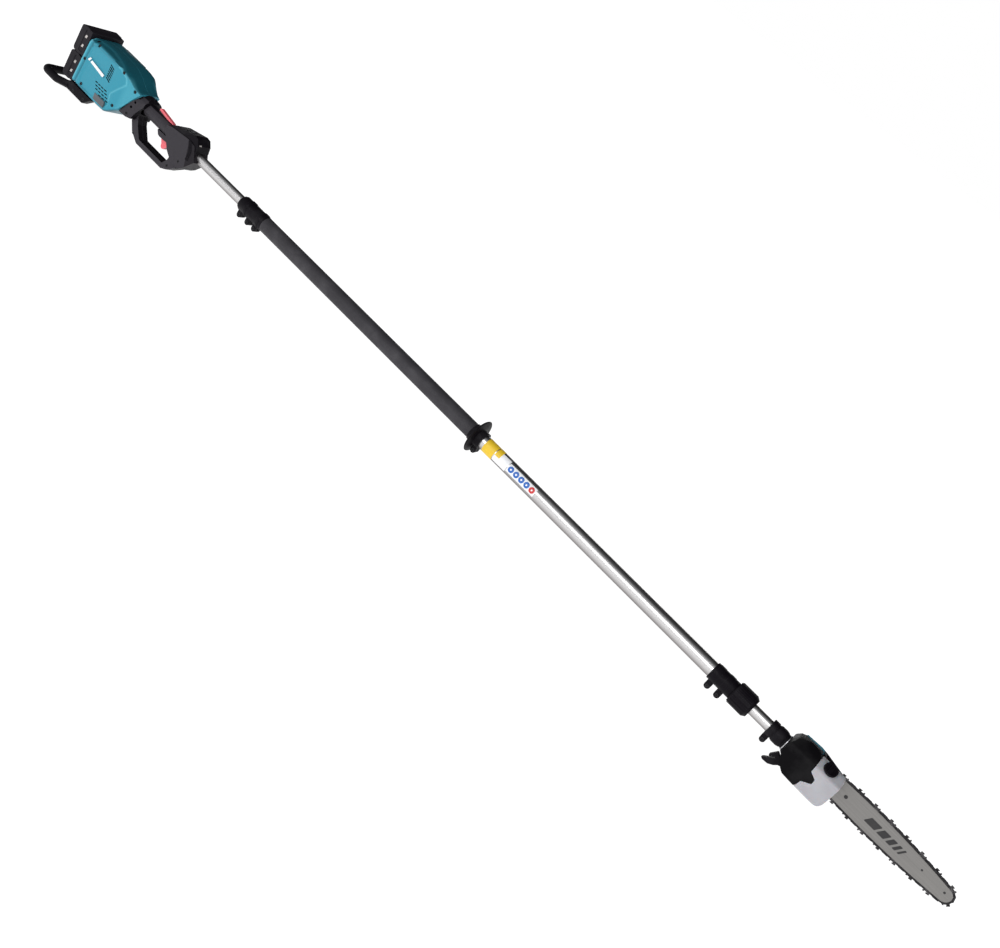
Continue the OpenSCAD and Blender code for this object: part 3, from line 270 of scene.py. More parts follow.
def moulded(name, colour, rough, grain=0.00006, grain_scale=1500, worn=None, shade=0.08, **sockets):
    """Moulded plastic: soft blotches, fine spark grain and lighter edges."""
    s = Shader(name, colour, rough, **sockets)
    s.shades(shade, 22)
    s.uneven_gloss(0.07, 90)
    s.edges(worn or [min(1, c * 1.5 + 0.02) for c in colour], 0.0012, 0.55)
    s.bump(grain_scale, grain)
    s.bump(60, 0.00012)
    return s.mat


def brushed(name, colour, rough, stretch, streak=0.05, depth=0.00002, metal=1.0):
    """Metal with streaks drawn out along one direction."""
    s = Shader(name, colour, rough, metal)
    s.shades(streak, 1.0, stretch)
    s.uneven_gloss(0.08, 1.0, tuple(c * 0.6 for c in stretch))
    s.edges([min(1, c * 1.25) for c in colour], 0.0006, 0.5)
    s.bump(1.0, depth, 3.0, stretch)
    return s.mat


ALONG_X = (10, 1400, 1400)
CHARCOAL, BLACK = (0.038, 0.035, 0.041), (0.005, 0.004, 0.006)
TEAL, SCARLET = (0.03, 0.262, 0.36), (0.8, 0.13, 0.16)
# Where the alloy neck ends, in metres along the pole
NECK_END = 1.0062
# Slanted planes that part two colours: a direction, and the range in metres over which the colour changes
HANDLE_FRONT = ((1, 0, 0.35), -0.8712, -0.8706)
LEVER_SLOT = ((0.1346, 0, 1), -0.0118, -0.0126)


def painted_shade_handle():
    """Charcoal on the faces that look sideways, painted shade in black on all other faces, and black on the
    front end.
    """
    s = Shader("handle_painted_shade", BLACK, 0.46, Specular_IOR_Level=0.1)
    # Painted shade: black wherever the surface does not face sideways
    s.blend(s.facing("Y", 0.5, 0.62), CHARCOAL)
    s.blend(s.past(*HANDLE_FRONT), (0.014, 0.012, 0.015))
    s.uneven_gloss(0.06, 90)
    s.edges((0.1, 0.095, 0.11), 0.0009, 0.35)
    s.bump(1300, 0.00009)
    return s.mat


def teal():
    """Teal plastic with painted shade on top and underneath, and painted light and shade read from a
    per-point attribute.
    """
    s = Shader("teal_plastic", TEAL, 0.36, Specular_IOR_Level=0.3)
    # Painted shade: darker on top and underneath, where less light falls
    s.blend(s.facing("Z", 0.3, 0.75, both=False), (0.008, 0.095, 0.128))
    s.blend(s.facing("Z", -0.25, -0.7, both=False), (0.008, 0.09, 0.125))
    # Painted light and painted shade, read from an attribute that the housing sets on its points
    painted_light_shade = s.add("ShaderNodeAttribute", attribute_name="painted_light_shade").outputs["Fac"]
    s.blend(s.ranged(painted_light_shade, 0.05, 1, 0, 0.75), (0.13, 0.5, 0.6))
    s.blend(s.ranged(painted_light_shade, -0.05, -1, 0, 0.85), (0.006, 0.085, 0.12))
    s.uneven_gloss(0.06, 90)
    s.edges((0.09, 0.38, 0.48), 0.0012, 0.5)
    s.bump(2200, 0.00003)
    return s.mat


def tube_metal():
    """Satin aluminium tube: streaks along it, and painted shade on the flanks beside a bright middle band.
    """
    s = Shader("satin_aluminium", (0.62, 0.61, 0.61), 0.32, 1.0)
    # Painted shade: darker where the surface turns away from the near, upper side
    dot = s.add("ShaderNodeVectorMath", operation="DOT_PRODUCT")
    s.join(s.add("ShaderNodeTexCoord").outputs["Normal"], dot.inputs[0])
    dot.inputs[1].default_value = (0, -0.86, 0.5)
    s.blend(s.ranged(dot.outputs["Value"], 0.9, 0.35, 0, 1), (0.2, 0.185, 0.185))
    s.uneven_gloss(0.08, 1.0, (4, 540, 540))
    s.bump(1.0, 0.00002, 3.0, (6, 900, 900))
    return s.mat


def gear_case_alloy():
    """Bare alloy at the neck, black paint on the rest."""
    s = Shader("gear_case_alloy", (0.5, 0.5, 0.52), 0.4, 0.9, Specular_IOR_Level=0.1)
    s.blend(s.along("X", NECK_END, NECK_END + 0.0002), (0.012, 0.011, 0.014))
    s.join(s.along("X", NECK_END + 0.0002, NECK_END), s.out.inputs["Metallic"])
    s.bump(900, 0.00008)
    return s.mat


def lever_red():
    """Red along the top of the lever, black where it runs down into its slot."""
    s = Shader("lever_red", SCARLET, 0.3)
    s.blend(s.past(*LEVER_SLOT), BLACK)
    s.uneven_gloss(0.06, 90)
    s.bump(1500, 0.00003)
    return s.mat


def rimmed_teal():
    """Teal plastic whose near rim turns black towards the bar."""
    s = Shader("rimmed_teal", (0.02, 0.19, 0.26), 0.4, Specular_IOR_Level=0.2)
    both = s.add("ShaderNodeMath", operation="MULTIPLY")
    s.join(s.along("Y", 0.034, 0.033), both.inputs[0])
    s.join(s.along("X", 1.066, 1.07), both.inputs[1])
    s.blend(both.outputs[0], BLACK)
    s.uneven_gloss(0.06, 90)
    s.bump(2200, 0.00003)
    return s.mat


MATS = {
    "teal_plastic": teal(),
    "charcoal_plastic": moulded("charcoal_plastic", CHARCOAL, 0.5, 0.00009, 1300, (0.12, 0.115, 0.13),
                                Specular_IOR_Level=0.3),
    "black_plastic": moulded("black_plastic", BLACK, 0.44, 0.00006, 1600, (0.025, 0.023, 0.028),
                             Specular_IOR_Level=0.07),
    "pack_plastic": moulded("pack_plastic", (0.013, 0.011, 0.015), 0.42, 0.00007, 1400,
                            (0.045, 0.042, 0.05), Specular_IOR_Level=0.12),
    "red_plastic": moulded("red_plastic", SCARLET, 0.36, 0.00003, 1500, (0.95, 0.4, 0.42)),
    "tank_plastic": moulded("tank_plastic", (0.36, 0.355, 0.38), 0.42, 0.00004, 1500,
                            (0.62, 0.62, 0.66), Subsurface_Weight=0.15, Subsurface_Scale=0.004),
    "nylon": moulded("nylon", (0.62, 0.6, 0.54), 0.45),
    "grey_rubber": moulded("grey_rubber", (0.05, 0.05, 0.055), 0.7, 0.00005, 900),
    "grip_rubber": moulded("grip_rubber", (0.032, 0.03, 0.035), 0.68, 0.00018, 700,
                           (0.05, 0.047, 0.055), 0.14, Specular_IOR_Level=0.3),
    "satin_aluminium": tube_metal(),
    "cast_alloy": gear_case_alloy(),
    "steel": brushed("steel", (0.5, 0.5, 0.52), 0.3, (60, 900, 900)),
    "bar_steel": brushed("bar_steel", (0.235, 0.228, 0.22), 0.46, ALONG_X, 0.1),
    "chain_steel": brushed("chain_steel", (0.016, 0.015, 0.017), 0.4, (200, 200, 200), 0.2, metal=0.7),
    "cutter_steel": brushed("cutter_steel", (0.06, 0.057, 0.06), 0.32, (300, 300, 300), 0.5),
    "black_screw": brushed("black_screw", (0.008, 0.008, 0.01), 0.4, (300, 300, 300), 0.2, metal=0.5),
    "brass_contact": brushed("brass_contact", (0.7, 0.5, 0.2), 0.28, (200, 200, 200)),
    "copper_winding": brushed("copper_winding", (0.5, 0.2, 0.08), 0.35, (900, 40, 900), 0.3, 0.0003),
    "circuit_board": moulded("circuit_board", (0.02, 0.14, 0.05), 0.3),
    "battery_cell": moulded("battery_cell", (0.05, 0.3, 0.17), 0.3),
}
HANDLE = painted_shade_handle()
COVER_BLACK = moulded("cover_black", (0.003, 0.0027, 0.0034), 0.5, 0.00006, 1600, (0.012, 0.011, 0.013),
                      Specular_IOR_Level=0.05)
WHITE = moulded("white_print", (0.82, 0.83, 0.85), 0.5, 0.00001, 900, (0.9, 0.9, 0.92), 0.03)
YELLOW = moulded("yellow_label", (0.75, 0.5, 0.02), 0.45, 0.00001, 900, (0.8, 0.6, 0.1), 0.05)
BLUE = moulded("blue_disc", (0.02, 0.12, 0.45), 0.45, 0.00001, 900, (0.1, 0.25, 0.6), 0.05)
RED = moulded("red_ring", (0.55, 0.02, 0.02), 0.45, 0.00001, 900, (0.7, 0.2, 0.2), 0.05)
PLATE = moulded("grey_plate", (0.075, 0.085, 0.095), 0.35, 0.00001, 900, (0.2, 0.22, 0.24), 0.1)
# Near-black print, plug and rivets on the bar, and painted shade on the walls of the housing's air slots
DARK_PRINT_AND_SHADE = moulded("dark_print_and_shade", (0.012, 0.011, 0.012), 0.5, 0.00001, 900, (0.03, 0.03, 0.03), 0.05)
# Pale patches that are painted highlights
PAINTED_HIGHLIGHT = moulded("painted_highlight", (0.45, 0.42, 0.4), 0.4, 0.00003, 900, (0.6, 0.58, 0.55), 0.2)

# ---------- CAD nodes that stay ----------

# Corners turned by more than these many degrees are rounded, or shaded as sharp
ROUND_ANGLE, SHARP_ANGLE = 32, 40
# Each node's material slot, and the width in mm of the rounding that a node's edges get
SLOT = {p["node"]: p["material_slot"] for p in frame["record"]["subparts"]}
EDGE = {"handle_right": 1.4, "handle_left": 1.4, "control_panel": 1.6, "rear_guard": 0.8, "trigger": 1.4,
        "lock_off_lever": 1.4, "rear_clamp": 0.6, "grip_sleeve": 0.6, "hand_guard": 0.4, "front_holder": 0.6,
        "lock_sleeve": 0.5, "head_clamp": 0.5, "oil_cap": 1.0, "branch_hook": 1.0, "sprocket_cover": 1.0,
        "gear_case": 0.6, "power_button": 0.5, "mode_button": 0.5, "upper_battery_button": 0.8,
        "lower_battery_button": 0.8}


def soften(o, width):
    """Rounded edges on a CAD node, as modifiers."""
    o.modifiers.new("weld", "WELD").merge_threshold = 0.00001
    mod = o.modifiers.new("round", "BEVEL")
    mod.width, mod.segments, mod.limit_method = width / 1000, 2, "ANGLE"
    mod.angle_limit = math.radians(ROUND_ANGLE)
    mod.harden_normals = True


OWN_MATS = {"handle_right": HANDLE, "handle_left": HANDLE, "sprocket_cover": rimmed_teal(),
            "lock_off_lever": lever_red(), "lock_sleeve": MATS["black_plastic"]}
for name, o in frame["nodes"].items():
    o.data.materials.clear()
    o.data.materials.append(OWN_MATS.get(name, MATS[SLOT[name]]))
    if name in EDGE:
        soften(o, EDGE[name])


# ---------- Mesh helpers ----------

# The frame's origin, in mm along the tool from its rear end and below the pole axis
ORIGIN_S, ORIGIN_Z = 1417.5, 109.0
# Radius of the points of a turned profile that lie on its axis
AXIS_R = 0.01


def at(s, y, z):
    """Millimetres along, across and above the pole axis, as a point of the row frame in metres."""
    return Vector(((s - ORIGIN_S) / 1000, y / 1000, (z + ORIGIN_Z) / 1000))


def lookup(x, table):
    """Linear interpolation in a list of (x, value)."""
    if x <= table[0][0]:
        return table[0][1]
    for (x0, v0), (x1, v1) in zip(table, table[1:]):
        if x <= x1:
            return v0 + (v1 - v0) * (x - x0) / (x1 - x0)
    return table[-1][1]


def bell(x, middle, width, height):
    """Bump of this height about the middle."""
    return height * math.exp(-(((x - middle) / width) ** 2))


def smooth_step(t):
    t = min(1.0, max(0.0, t))
    return t * t * (3 - 2 * t)


def fillet(points, radii, steps):
    """Rounds the corners of a closed outline. radii is one number or one per corner."""
    n = len(points)
    radii = [radii] * n if isinstance(radii, (int, float)) else radii
    out = []
    for i in range(n):
        p, q, r = Vector(points[i - 1]), Vector(points[i]), Vector(points[(i + 1) % n])
        a, b = (p - q), (r - q)
        half = a.angle(b) / 2
        cut = min(radii[i] / math.tan(half), a.length * 0.49, b.length * 0.49)
        if cut < 0.05:
            out.append(q)
            continue
        start, end = q + a.normalized() * cut, q + b.normalized() * cut
        for k in range(steps + 1):
            t = k / steps
            out.append((1 - t) ** 2 * start + 2 * t * (1 - t) * q + t * t * end)
    return out


def bm_object(name, bm):
    bmesh.ops.recalc_face_normals(bm, faces=bm.faces)
    mesh = bpy.data.meshes.new(name)
    bm.to_mesh(mesh)
    bm.free()
    o = bpy.data.objects.new(name, mesh)
    bpy.context.collection.objects.link(o)
    return o


def rings_bm(rings, closed=False):
    """Skins rings of points; closed joins the last ring to the first, otherwise both ends are capped."""
    bm = bmesh.new()
    rows = [[bm.verts.new(p) for p in ring] for ring in rings]
    n = len(rows[0])
    pairs = list(zip(rows, rows[1:])) + ([(rows[-1], rows[0])] if closed else [])
    for a, b in pairs:
        for i in range(n):
            bm.faces.new((a[i], a[(i + 1) % n], b[(i + 1) % n], b[i]))
    if not closed:
        bm.faces.new(rows[0])
        bm.faces.new(rows[-1])
    return bm


def prism(name, outline, y0, y1):
    """Side view outline of (station, height) points, extruded across the tool."""
    rings = [[at(x, y, z) for x, z in outline] for y in (y0, y1)]
    return bm_object(name, rings_bm(rings))


def lathe(name, profile, origin, axis, steps):
    """Turns (radius, distance along the axis) points about an axis through origin."""
    axis = unit(axis)
    u = axis.orthogonal().normalized()
    v = axis.cross(u)
    rings = []
    for k in range(steps):
        a = 2 * math.pi * k / steps
        out = math.cos(a) * u + math.sin(a) * v
        rings.append([origin + (out * r + axis * d) / 1000 for r, d in profile])
    return bm_object(name, rings_bm(rings, closed=True))


def section_bar(name, outline, s0, s1):
    """Cross-section of (y, height) points, extruded along the pole."""
    return bm_object(name, rings_bm([[at(s, y, z) for y, z in outline] for s in (s0, s1)]))


def box(name, low, high):
    (x0, y0, z0), (x1, y1, z1) = low, high
    return prism(name, [(x0, z0), (x1, z0), (x1, z1), (x0, z1)], y0, y1)


def wrap(name, s0, s1, a0, a1, radius, thick=0.25, disc=False):
    """Thin patch on a tube between two angles from the top towards the right; disc makes it round."""
    across = 16
    rings = []
    for r in (radius, radius + thick):
        for k in range(across + 1) if r == radius else range(across, -1, -1):
            u = -1 + 2 * k / across
            reach = math.sqrt(max(0.0, 1 - u * u)) if disc else 1.0
            s = (s0 + s1) / 2 + (s1 - s0) / 2 * u
            row = []
            for j in range(across + 1):
                v = max(reach, 0.02) * (-1 + 2 * j / across)
                a = math.radians((a0 + a1) / 2 + (a1 - a0) / 2 * v)
                row.append(at(s, -r * math.sin(a), r * math.cos(a)))
            rings.append(row)
    bm = bmesh.new()
    rows = [[bm.verts.new(p) for p in ring] for ring in rings]
    for a, b in zip(rows, rows[1:] + rows[:1]):
        for i in range(across):
            bm.faces.new((a[i], a[i + 1], b[i + 1], b[i]))
    n = across + 1
    for k in range(across):
        for i in (0, across):
            bm.faces.new((rows[k][i], rows[k + 1][i], rows[2 * n - 2 - k][i], rows[2 * n - 1 - k][i]))
    return bm_object(name, bm)


def settle(o):
    """Replaces the object's mesh with its own evaluated mesh and drops the modifiers."""
    graph = bpy.context.evaluated_depsgraph_get()
    mesh = bpy.data.meshes.new_from_object(o.evaluated_get(graph))
    o.modifiers.clear()
    o.data = mesh


def combine(o, others, kind="UNION"):
    for other in others:
        mod = o.modifiers.new(kind.lower(), "BOOLEAN")
        mod.operation, mod.object, mod.solver = kind, other, "EXACT"
        settle(o)
        bpy.data.objects.remove(other, do_unlink=True)


def joined(name, objects):
    """One mesh that holds all the objects' faces, in the row frame."""
    bm = bmesh.new()
    for o in objects:
        bm.from_mesh(o.data)
        bpy.data.objects.remove(o, do_unlink=True)
    return bm_object(name, bm)


def piece(o, body, slot, *replaced, mats=None, bevel=0.0, segments=3, angle=ROUND_ANGLE):
    """Finishes an object: materials, rounding, shading, and its place in the frame."""
    o.data.materials.clear()
    for m in mats or [MATS[slot]]:
        o.data.materials.append(m)
    for f in o.data.polygons:
        f.use_smooth = True
    if bevel:
        mod = o.modifiers.new("round", "BEVEL")
        mod.width, mod.segments, mod.limit_method = bevel / 1000, segments, "ANGLE"
        mod.angle_limit, mod.harden_normals = math.radians(angle), True
    sharp_edges(o)
    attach(o, body)
    if replaced:
        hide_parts(*replaced)


def sharp_edges(o):
    """Marks the sharp edges, so that shading breaks there."""
    bm = bmesh.new()
    bm.from_mesh(o.data)
    for e in bm.edges:
        e.smooth = not (len(e.link_faces) == 2 and e.calc_face_angle(0) > math.radians(SHARP_ANGLE))
    bm.to_mesh(o.data)
    bm.free()


def paint(o, index, test):
    """Another material for the faces where test(centre, normal) holds, the centre as (s, y, z) in mm."""
    for f in o.data.polygons:
        c = f.center
        if test((c.x * 1000 + ORIGIN_S, c.y * 1000, c.z * 1000 - ORIGIN_Z), f.normal):
            f.material_index = index


# ---------- Motor housing ----------

# Height of the housing's top and bottom edges and its half width, by station
TOP_Z = [(118, 55), (126, 57.5), (136, 59), (160, 60), (185, 60), (215, 59), (238, 56.5), (256, 51),
         (268, 46), (284, 37), (299, 30), (314, 28)]
LOW_Z = [(118, -67), (150, -68.5), (190, -69.5), (244, -70.5), (251, -67), (277, -45), (280, -45)]
PLAN_Y = [(118, 57), (200, 57), (218, 56.3), (240, 53), (256, 49.8), (270, 45.6), (284, 40.8), (300, 36.6),
          (314, 33)]
# Stations of the rings that the shell is skinned over, at their tops and at their lower ends
RING_TOP = [118, 119, 120.5, 122.5, 125, 128, 131, 135, 140, 150, 165, 185, 205, 225, 238, 248, 256, 262,
            268, 276, 284, 292, 300, 307, 313]
RING_LOW = [118, 119, 120.5, 122.5, 125, 128, 131, 135, 140, 149, 162, 178, 194, 207, 216, 225, 233, 239,
            244, 248, 252, 258, 265, 271, 277]
# Outline of the sunken panel on each side
PANEL = [(140, -61), (131, 42), (152, 46), (243, 47), (266, 37), (272, 22), (244, -21), (250, -50),
         (241, -61)]
# Above CROWN_Z the sides curve in with radius CROWN_R
CROWN_Z, CROWN_R = 40, 20
# Thickness of the shell, and how many points its outside and inside have in each ring
WALL = 4.4
OUTER_POINTS, INNER_POINTS = 96, 48
# Bead and groove behind the rear rim: station, width and height; and how deep the panel is sunk
BEAD, GROOVE = (120.5, 2.6, 0.9), (127.5, 3.4, 2.2)
PANEL_DEPTH = 2.4
# How the block of air slots is slanted
SLOT_SLANT = math.radians(-16)
# Cutters reach from inside the shell to well outside it, in y
CUT_FROM, CUT_TO = 25, 70
# Centre heights of the two battery packs
PACK_MID = {"upper": 32, "lower": -38}


def housing_half_y(s, z):
    """Half width of the housing at station s and height z."""
    crown = CROWN_R - math.sqrt(max(0.0, CROWN_R ** 2 - max(0.0, z - CROWN_Z) ** 2))
    lean = lookup(z, [(-58, 57), (43.5, 53), (60, 53)])
    return min(lookup(s, PLAN_Y), lean - max(0.0, crown))


def distance_inside(p, outline):
    """Distance from p to the outline's nearest edge, positive inside."""
    x, z = p
    best, inside = 1e9, False
    n = len(outline)
    for i in range(n):
        (x0, z0), (x1, z1) = outline[i - 1], outline[i]
        dx, dz = x1 - x0, z1 - z0
        t = max(0.0, min(1.0, ((x - x0) * dx + (z - z0) * dz) / (dx * dx + dz * dz)))
        best = min(best, math.hypot(x - x0 - t * dx, z - z0 - t * dz))
        if (z0 > z) != (z1 > z) and x < x0 + (z - z0) * dx / dz:
            inside = not inside
    return best if inside else -best


def fine(values, step):
    """Splits the gaps of a list so that none is larger than step."""
    out = [values[0]]
    for a, b in zip(values, values[1:]):
        n = max(1, math.ceil(abs(b - a) / step))
        out += [a + (b - a) * k / n for k in range(1, n + 1)]
    return out


def housing_ring(s_top, s_low, inset):
    """Half cross-section from the seam below to the seam above, as (s, half width, z) points."""
    z_top, z_low = lookup(s_top, TOP_Z) - inset, lookup(s_low, LOW_Z) + inset
    corners = []
    for z in (z_low, -57, -30, 0, 25, 38, 44, 49, 53, 56.5, 58.5, z_top):
        if z_low <= z <= z_top:
            t = (z_top - z) / (z_top - z_low)
            s = s_top + (s_low - s_top) * t
            corners.append((s, max(2.0, housing_half_y(s, z) - inset), z))
    edge = [(corners[0][0], 0.1, z_low)]
    first, last = corners[0], corners[-1]
    edge.append((first[0], first[1] - 9, z_low))
    edge.append((first[0], first[1] - 3, z_low + 1.2))
    edge.append((first[0], first[1] - 0.4, z_low + 5))
    middle = [c for c in corners[1:-1] if z_low + 8 < c[2] < z_top - 6]
    edge += middle
    side = min(last[1], housing_half_y(last[0], z_top - 5) - inset)
    edge.append((last[0], side - 1.2, z_top - 4.2))
    edge.append((last[0], max(6, side - 5.5), z_top - 1.3))
    edge.append((last[0], max(3, side - 15), z_top))
    edge.append((s_top, 0.1, z_top))
    return edge


def resample(line, count):
    """Points at equal distances along a polyline."""
    line = [Vector(p) for p in line]
    total = [0.0]
    for a, b in zip(line, line[1:]):
        total.append(total[-1] + (b - a).length)
    out, j = [], 0
    for k in range(count):
        d = total[-1] * k / (count - 1)
        while j < len(line) - 2 and total[j + 1] < d:
            j += 1
        span = total[j + 1] - total[j]
        out.append(line[j].lerp(line[j + 1], (d - total[j]) / span if span > 1e-9 else 0))
    return out


def housing_skin(p):
    """Raised bead and groove behind the rear rim, and the sunken panel on each side."""
    s, y, z = p
    push = bell(s, *BEAD) - bell(s, *GROOVE)
    steep = smooth_step((y - 20) / 12)
    push -= PANEL_DEPTH * smooth_step((distance_inside((s, z), PANEL) + 2) / 4.5) * steep
    return Vector((s, y + push * steep, z + push * (1 - steep) * (0.6 if z > 0 else -0.6)))


def paint_housing_light_shade(o):
    """Painted light on the bead, the panel's front step and the front of the shell, painted shade in the
    groove and along the panel's top.
    """
    painted_light_shade = o.data.attributes.new("painted_light_shade", "FLOAT", "POINT")
    for v in o.data.vertices:
        s, y, z = v.co.x * 1000 + ORIGIN_S, abs(v.co.y) * 1000, v.co.z * 1000 - ORIGIN_Z
        side = smooth_step((y - 24) / 12)
        value = bell(s, 120.3, 2.2, 0.9) - bell(s, 127.5, 3, 0.8)
        rim = bell(distance_inside((s, z), PANEL), 0.2, 2.4, 1)
        value += rim * (0.75 if s > 232 else -0.45 if z > 36 else 0.0)
        # Painted light towards the front end of the shell
        value += 0.3 * smooth_step((s - 262) / 20)
        painted_light_shade.data[v.index].value = value * side


def housing_half(name, sign):
    tops = fine(RING_TOP, 3)
    lows = [lookup(t, list(zip(RING_TOP, RING_LOW))) for t in tops]
    rings = []
    for s_top, s_low in zip(tops, lows):
        outer = [housing_skin(p) for p in resample(housing_ring(s_top, s_low, 0), OUTER_POINTS)]
        inner = resample(housing_ring(s_top, s_low, WALL), INNER_POINTS)
        rings.append([at(p[0], sign * p[1], p[2]) for p in outer + inner[::-1]])
    return bm_object(name, rings_bm(rings))


def slot_cutters(sign):
    """Slanted block of air slots and rows of level ones, as one cutter mesh."""
    cut = []
    for i in range(7):
        x, z = 207 + i * 0.6, 34.8 - i * 5.4
        c, s = math.cos(SLOT_SLANT), math.sin(SLOT_SLANT)
        pts = [(0, 0), (18, 0), (18, 3), (0, 3)]
        outline = fillet([(x + a * c - b * s, z + a * s + b * c) for a, b in pts], 1.1, 3)
        cut.append(prism("cut", outline, sign * CUT_FROM, sign * CUT_TO))
    for row in range(4):
        for col in range(4):
            x, z = 187 + col * 12 + row * 5, -25.5 - row * 7
            if row == 3 and col == 0:
                continue
            outline = fillet([(x, z), (x + 9.6, z), (x + 9.6, z + 2.8), (x, z + 2.8)], 1.2, 3)
            cut.append(prism("cut", outline, sign * CUT_FROM, sign * CUT_TO))
    return joined("cuts", cut)


def in_vent(p, normal):
    """True for the walls of the air slots."""
    s, y, z = p
    inside = (203 < s < 232 and -3 < z < 40) or (184 < s < 244 and -50 < z < -21)
    return inside and abs(normal.y) < 0.4 and 36 < abs(y) < 56.4


# Sign of y on each side
SIDES = ((-1, "right"), (1, "left"))
# Screw places in the housing, and in the feet of the rear guard
SCREWS = [(149, 50), (254, 44), (298, 22), (126, -1), (150, -57), (262, -42)]
GUARD_SCREWS = [(136, -86), (177, -84)]
# Radius and depth of the housing's screw wells
WELL_R, WELL_DEPTH = 4.2, 2.6


def screw_wells(places, y_at, radius):
    """Cutters for the round wells of the screws on the right side."""
    wells = []
    for x, z in places:
        y = y_at(x, z)
        low, high = y - WELL_DEPTH, y + 1.5
        profile = [(AXIS_R, low), (radius, low), (radius, high), (AXIS_R, high)]
        wells.append(lathe("well", profile, at(x, 0, z), (0, -1, 0), 20))
    return joined("wells", wells)


def build_housing_side(sign, side):
    """Half of the shell with its openings, painted shade on the walls of its air slots, and a black sheet of
    painted shade behind them.
    """
    o = housing_half("housing_skin_" + side, sign)
    cutters = [slot_cutters(sign)]
    if sign < 0:
        cutters.append(screw_wells(SCREWS, housing_half_y, WELL_R))
    combine(o, cutters, "DIFFERENCE")
    if sign > 0:
        # Gaps in the rear rim, where the packs' rails slide out
        cuts = []
        for z in PACK_MID.values():
            outline = [(117, z - 17.5), (117, z + 17.5), (130.7, z + 17.5), (130.7, z - 17.5)]
            cuts.append(prism("cut", outline, CUT_FROM, CUT_TO))
        combine(o, [joined("rail_cuts", cuts)], "DIFFERENCE")
    paint_housing_light_shade(o)
    piece(o, "tool", "teal_plastic", "housing_" + side, mats=[MATS["teal_plastic"], DARK_PRINT_AND_SHADE])
    # Painted shade: the walls of the air slots are near-black
    paint(o, 1, in_vent)
    # Painted shade: a black sheet just inside the wall, behind the air slots
    shade_sheet = [prism("shade_sheet", outline, sign * 46.6, sign * 48)
             for outline in ([(200, -2), (200, 40), (232, 40), (232, -2)],
                             [(184, -50), (184, -20), (240, -20), (240, -50)])]
    piece(joined("vent_shade_sheet_" + side, shade_sheet), "tool", "black_plastic")


def build_screws():
    """Screw heads on the right side, and at the guard's feet on both sides."""
    heads = []
    for x, z in SCREWS:
        y = housing_half_y(x, z) - 0.9
        profile = [(AXIS_R, y - 1.6), (1.5, y - 1.6), (1.5, y), (3.4, y), (3.9, y - 0.5), (3.9, y - 2.6),
                   (2, y - 2.6), (2, 1), (AXIS_R, 1)]
        heads.append(lathe("head", profile, at(x, 0, z), (0, -1, 0), 24))
    for x, z in GUARD_SCREWS:
        for side in (-1, 1):
            profile = [(AXIS_R, 54.2), (1.7, 54.2), (1.7, 55.8), (3.5, 55.8), (3.5, 53.2), (1.8, 53.2),
                       (1.8, 38), (AXIS_R, 38)]
            heads.append(lathe("head", profile, at(x, 0, z), (0, side, 0), 24))
    piece(joined("housing_screw_set", heads), "tool", "black_screw", "housing_screws")


# ---------- Marks, small plates and a painted highlight on the power unit ---

# Depth of the marks on the housing's sides, in y
MARK_FROM, MARK_TO = 54.6, 55.7


def build_unit_trim():
    # A short and a long white bar stand in for the mark on each side
    for sign, side in SIDES:
        outlines = (fillet([(138, 4.5), (143, 13), (149, 13), (144, 4.5)], 0.8, 2),
                    fillet([(149, 4), (153, 10.5), (207, 4.5), (204, -3)], 1.6, 3))
        bars = [prism("bar", outline, sign * MARK_FROM, sign * MARK_TO) for outline in outlines]
        piece(joined("mark_" + side, bars), "tool", "nylon", mats=[WHITE])
        plate = prism("plate", fillet([(203, -47), (205, -62.5), (245, -62.5), (243, -47)], 1.5, 3),
                      sign * 53, sign * 56.2)
        piece(plate, "tool", "grey_rubber", mats=[PLATE], bevel=0.3)
        plate.name = "plate_" + side
    # Ribbed band on each side of the switch housing, and a pale painted highlight on its panel
    for sign, side in SIDES:
        band = fillet([(497, 27), (508, 28), (520, 10), (523, -16), (513, -18), (511, 6)], 1.5, 3)
        ribs = [prism("band", band, sign * 22.8, sign * 24.2)]
        for i in range(6):
            z = 20 - i * 6.4
            x = lookup(z, [(-18, 512), (6, 510), (27, 498)])
            rib = [(x + 1.5, z), (x + 10, z), (x + 10, z - 2.6), (x + 1.5, z - 2.6)]
            ribs.append(prism("rib", rib, sign * 23.8, sign * 25))
        piece(joined("band_" + side, ribs), "tool", "black_plastic", bevel=0.3)
    # Painted highlight: a pale sliver standing in for a glint on the panel
    glint = prism("panel_glint", fillet([(514, 41), (527, 29), (528.5, 31), (516, 43.5)], 0.6, 2), -16, -8)
    piece(glint, "tool", "grey_rubber", mats=[PAINTED_HIGHLIGHT], bevel=0.3)


# ---------- Battery packs ----------

# The near and the far end of a pack, in y
PACK_NEAR, PACK_FAR = -54.8, 44.8


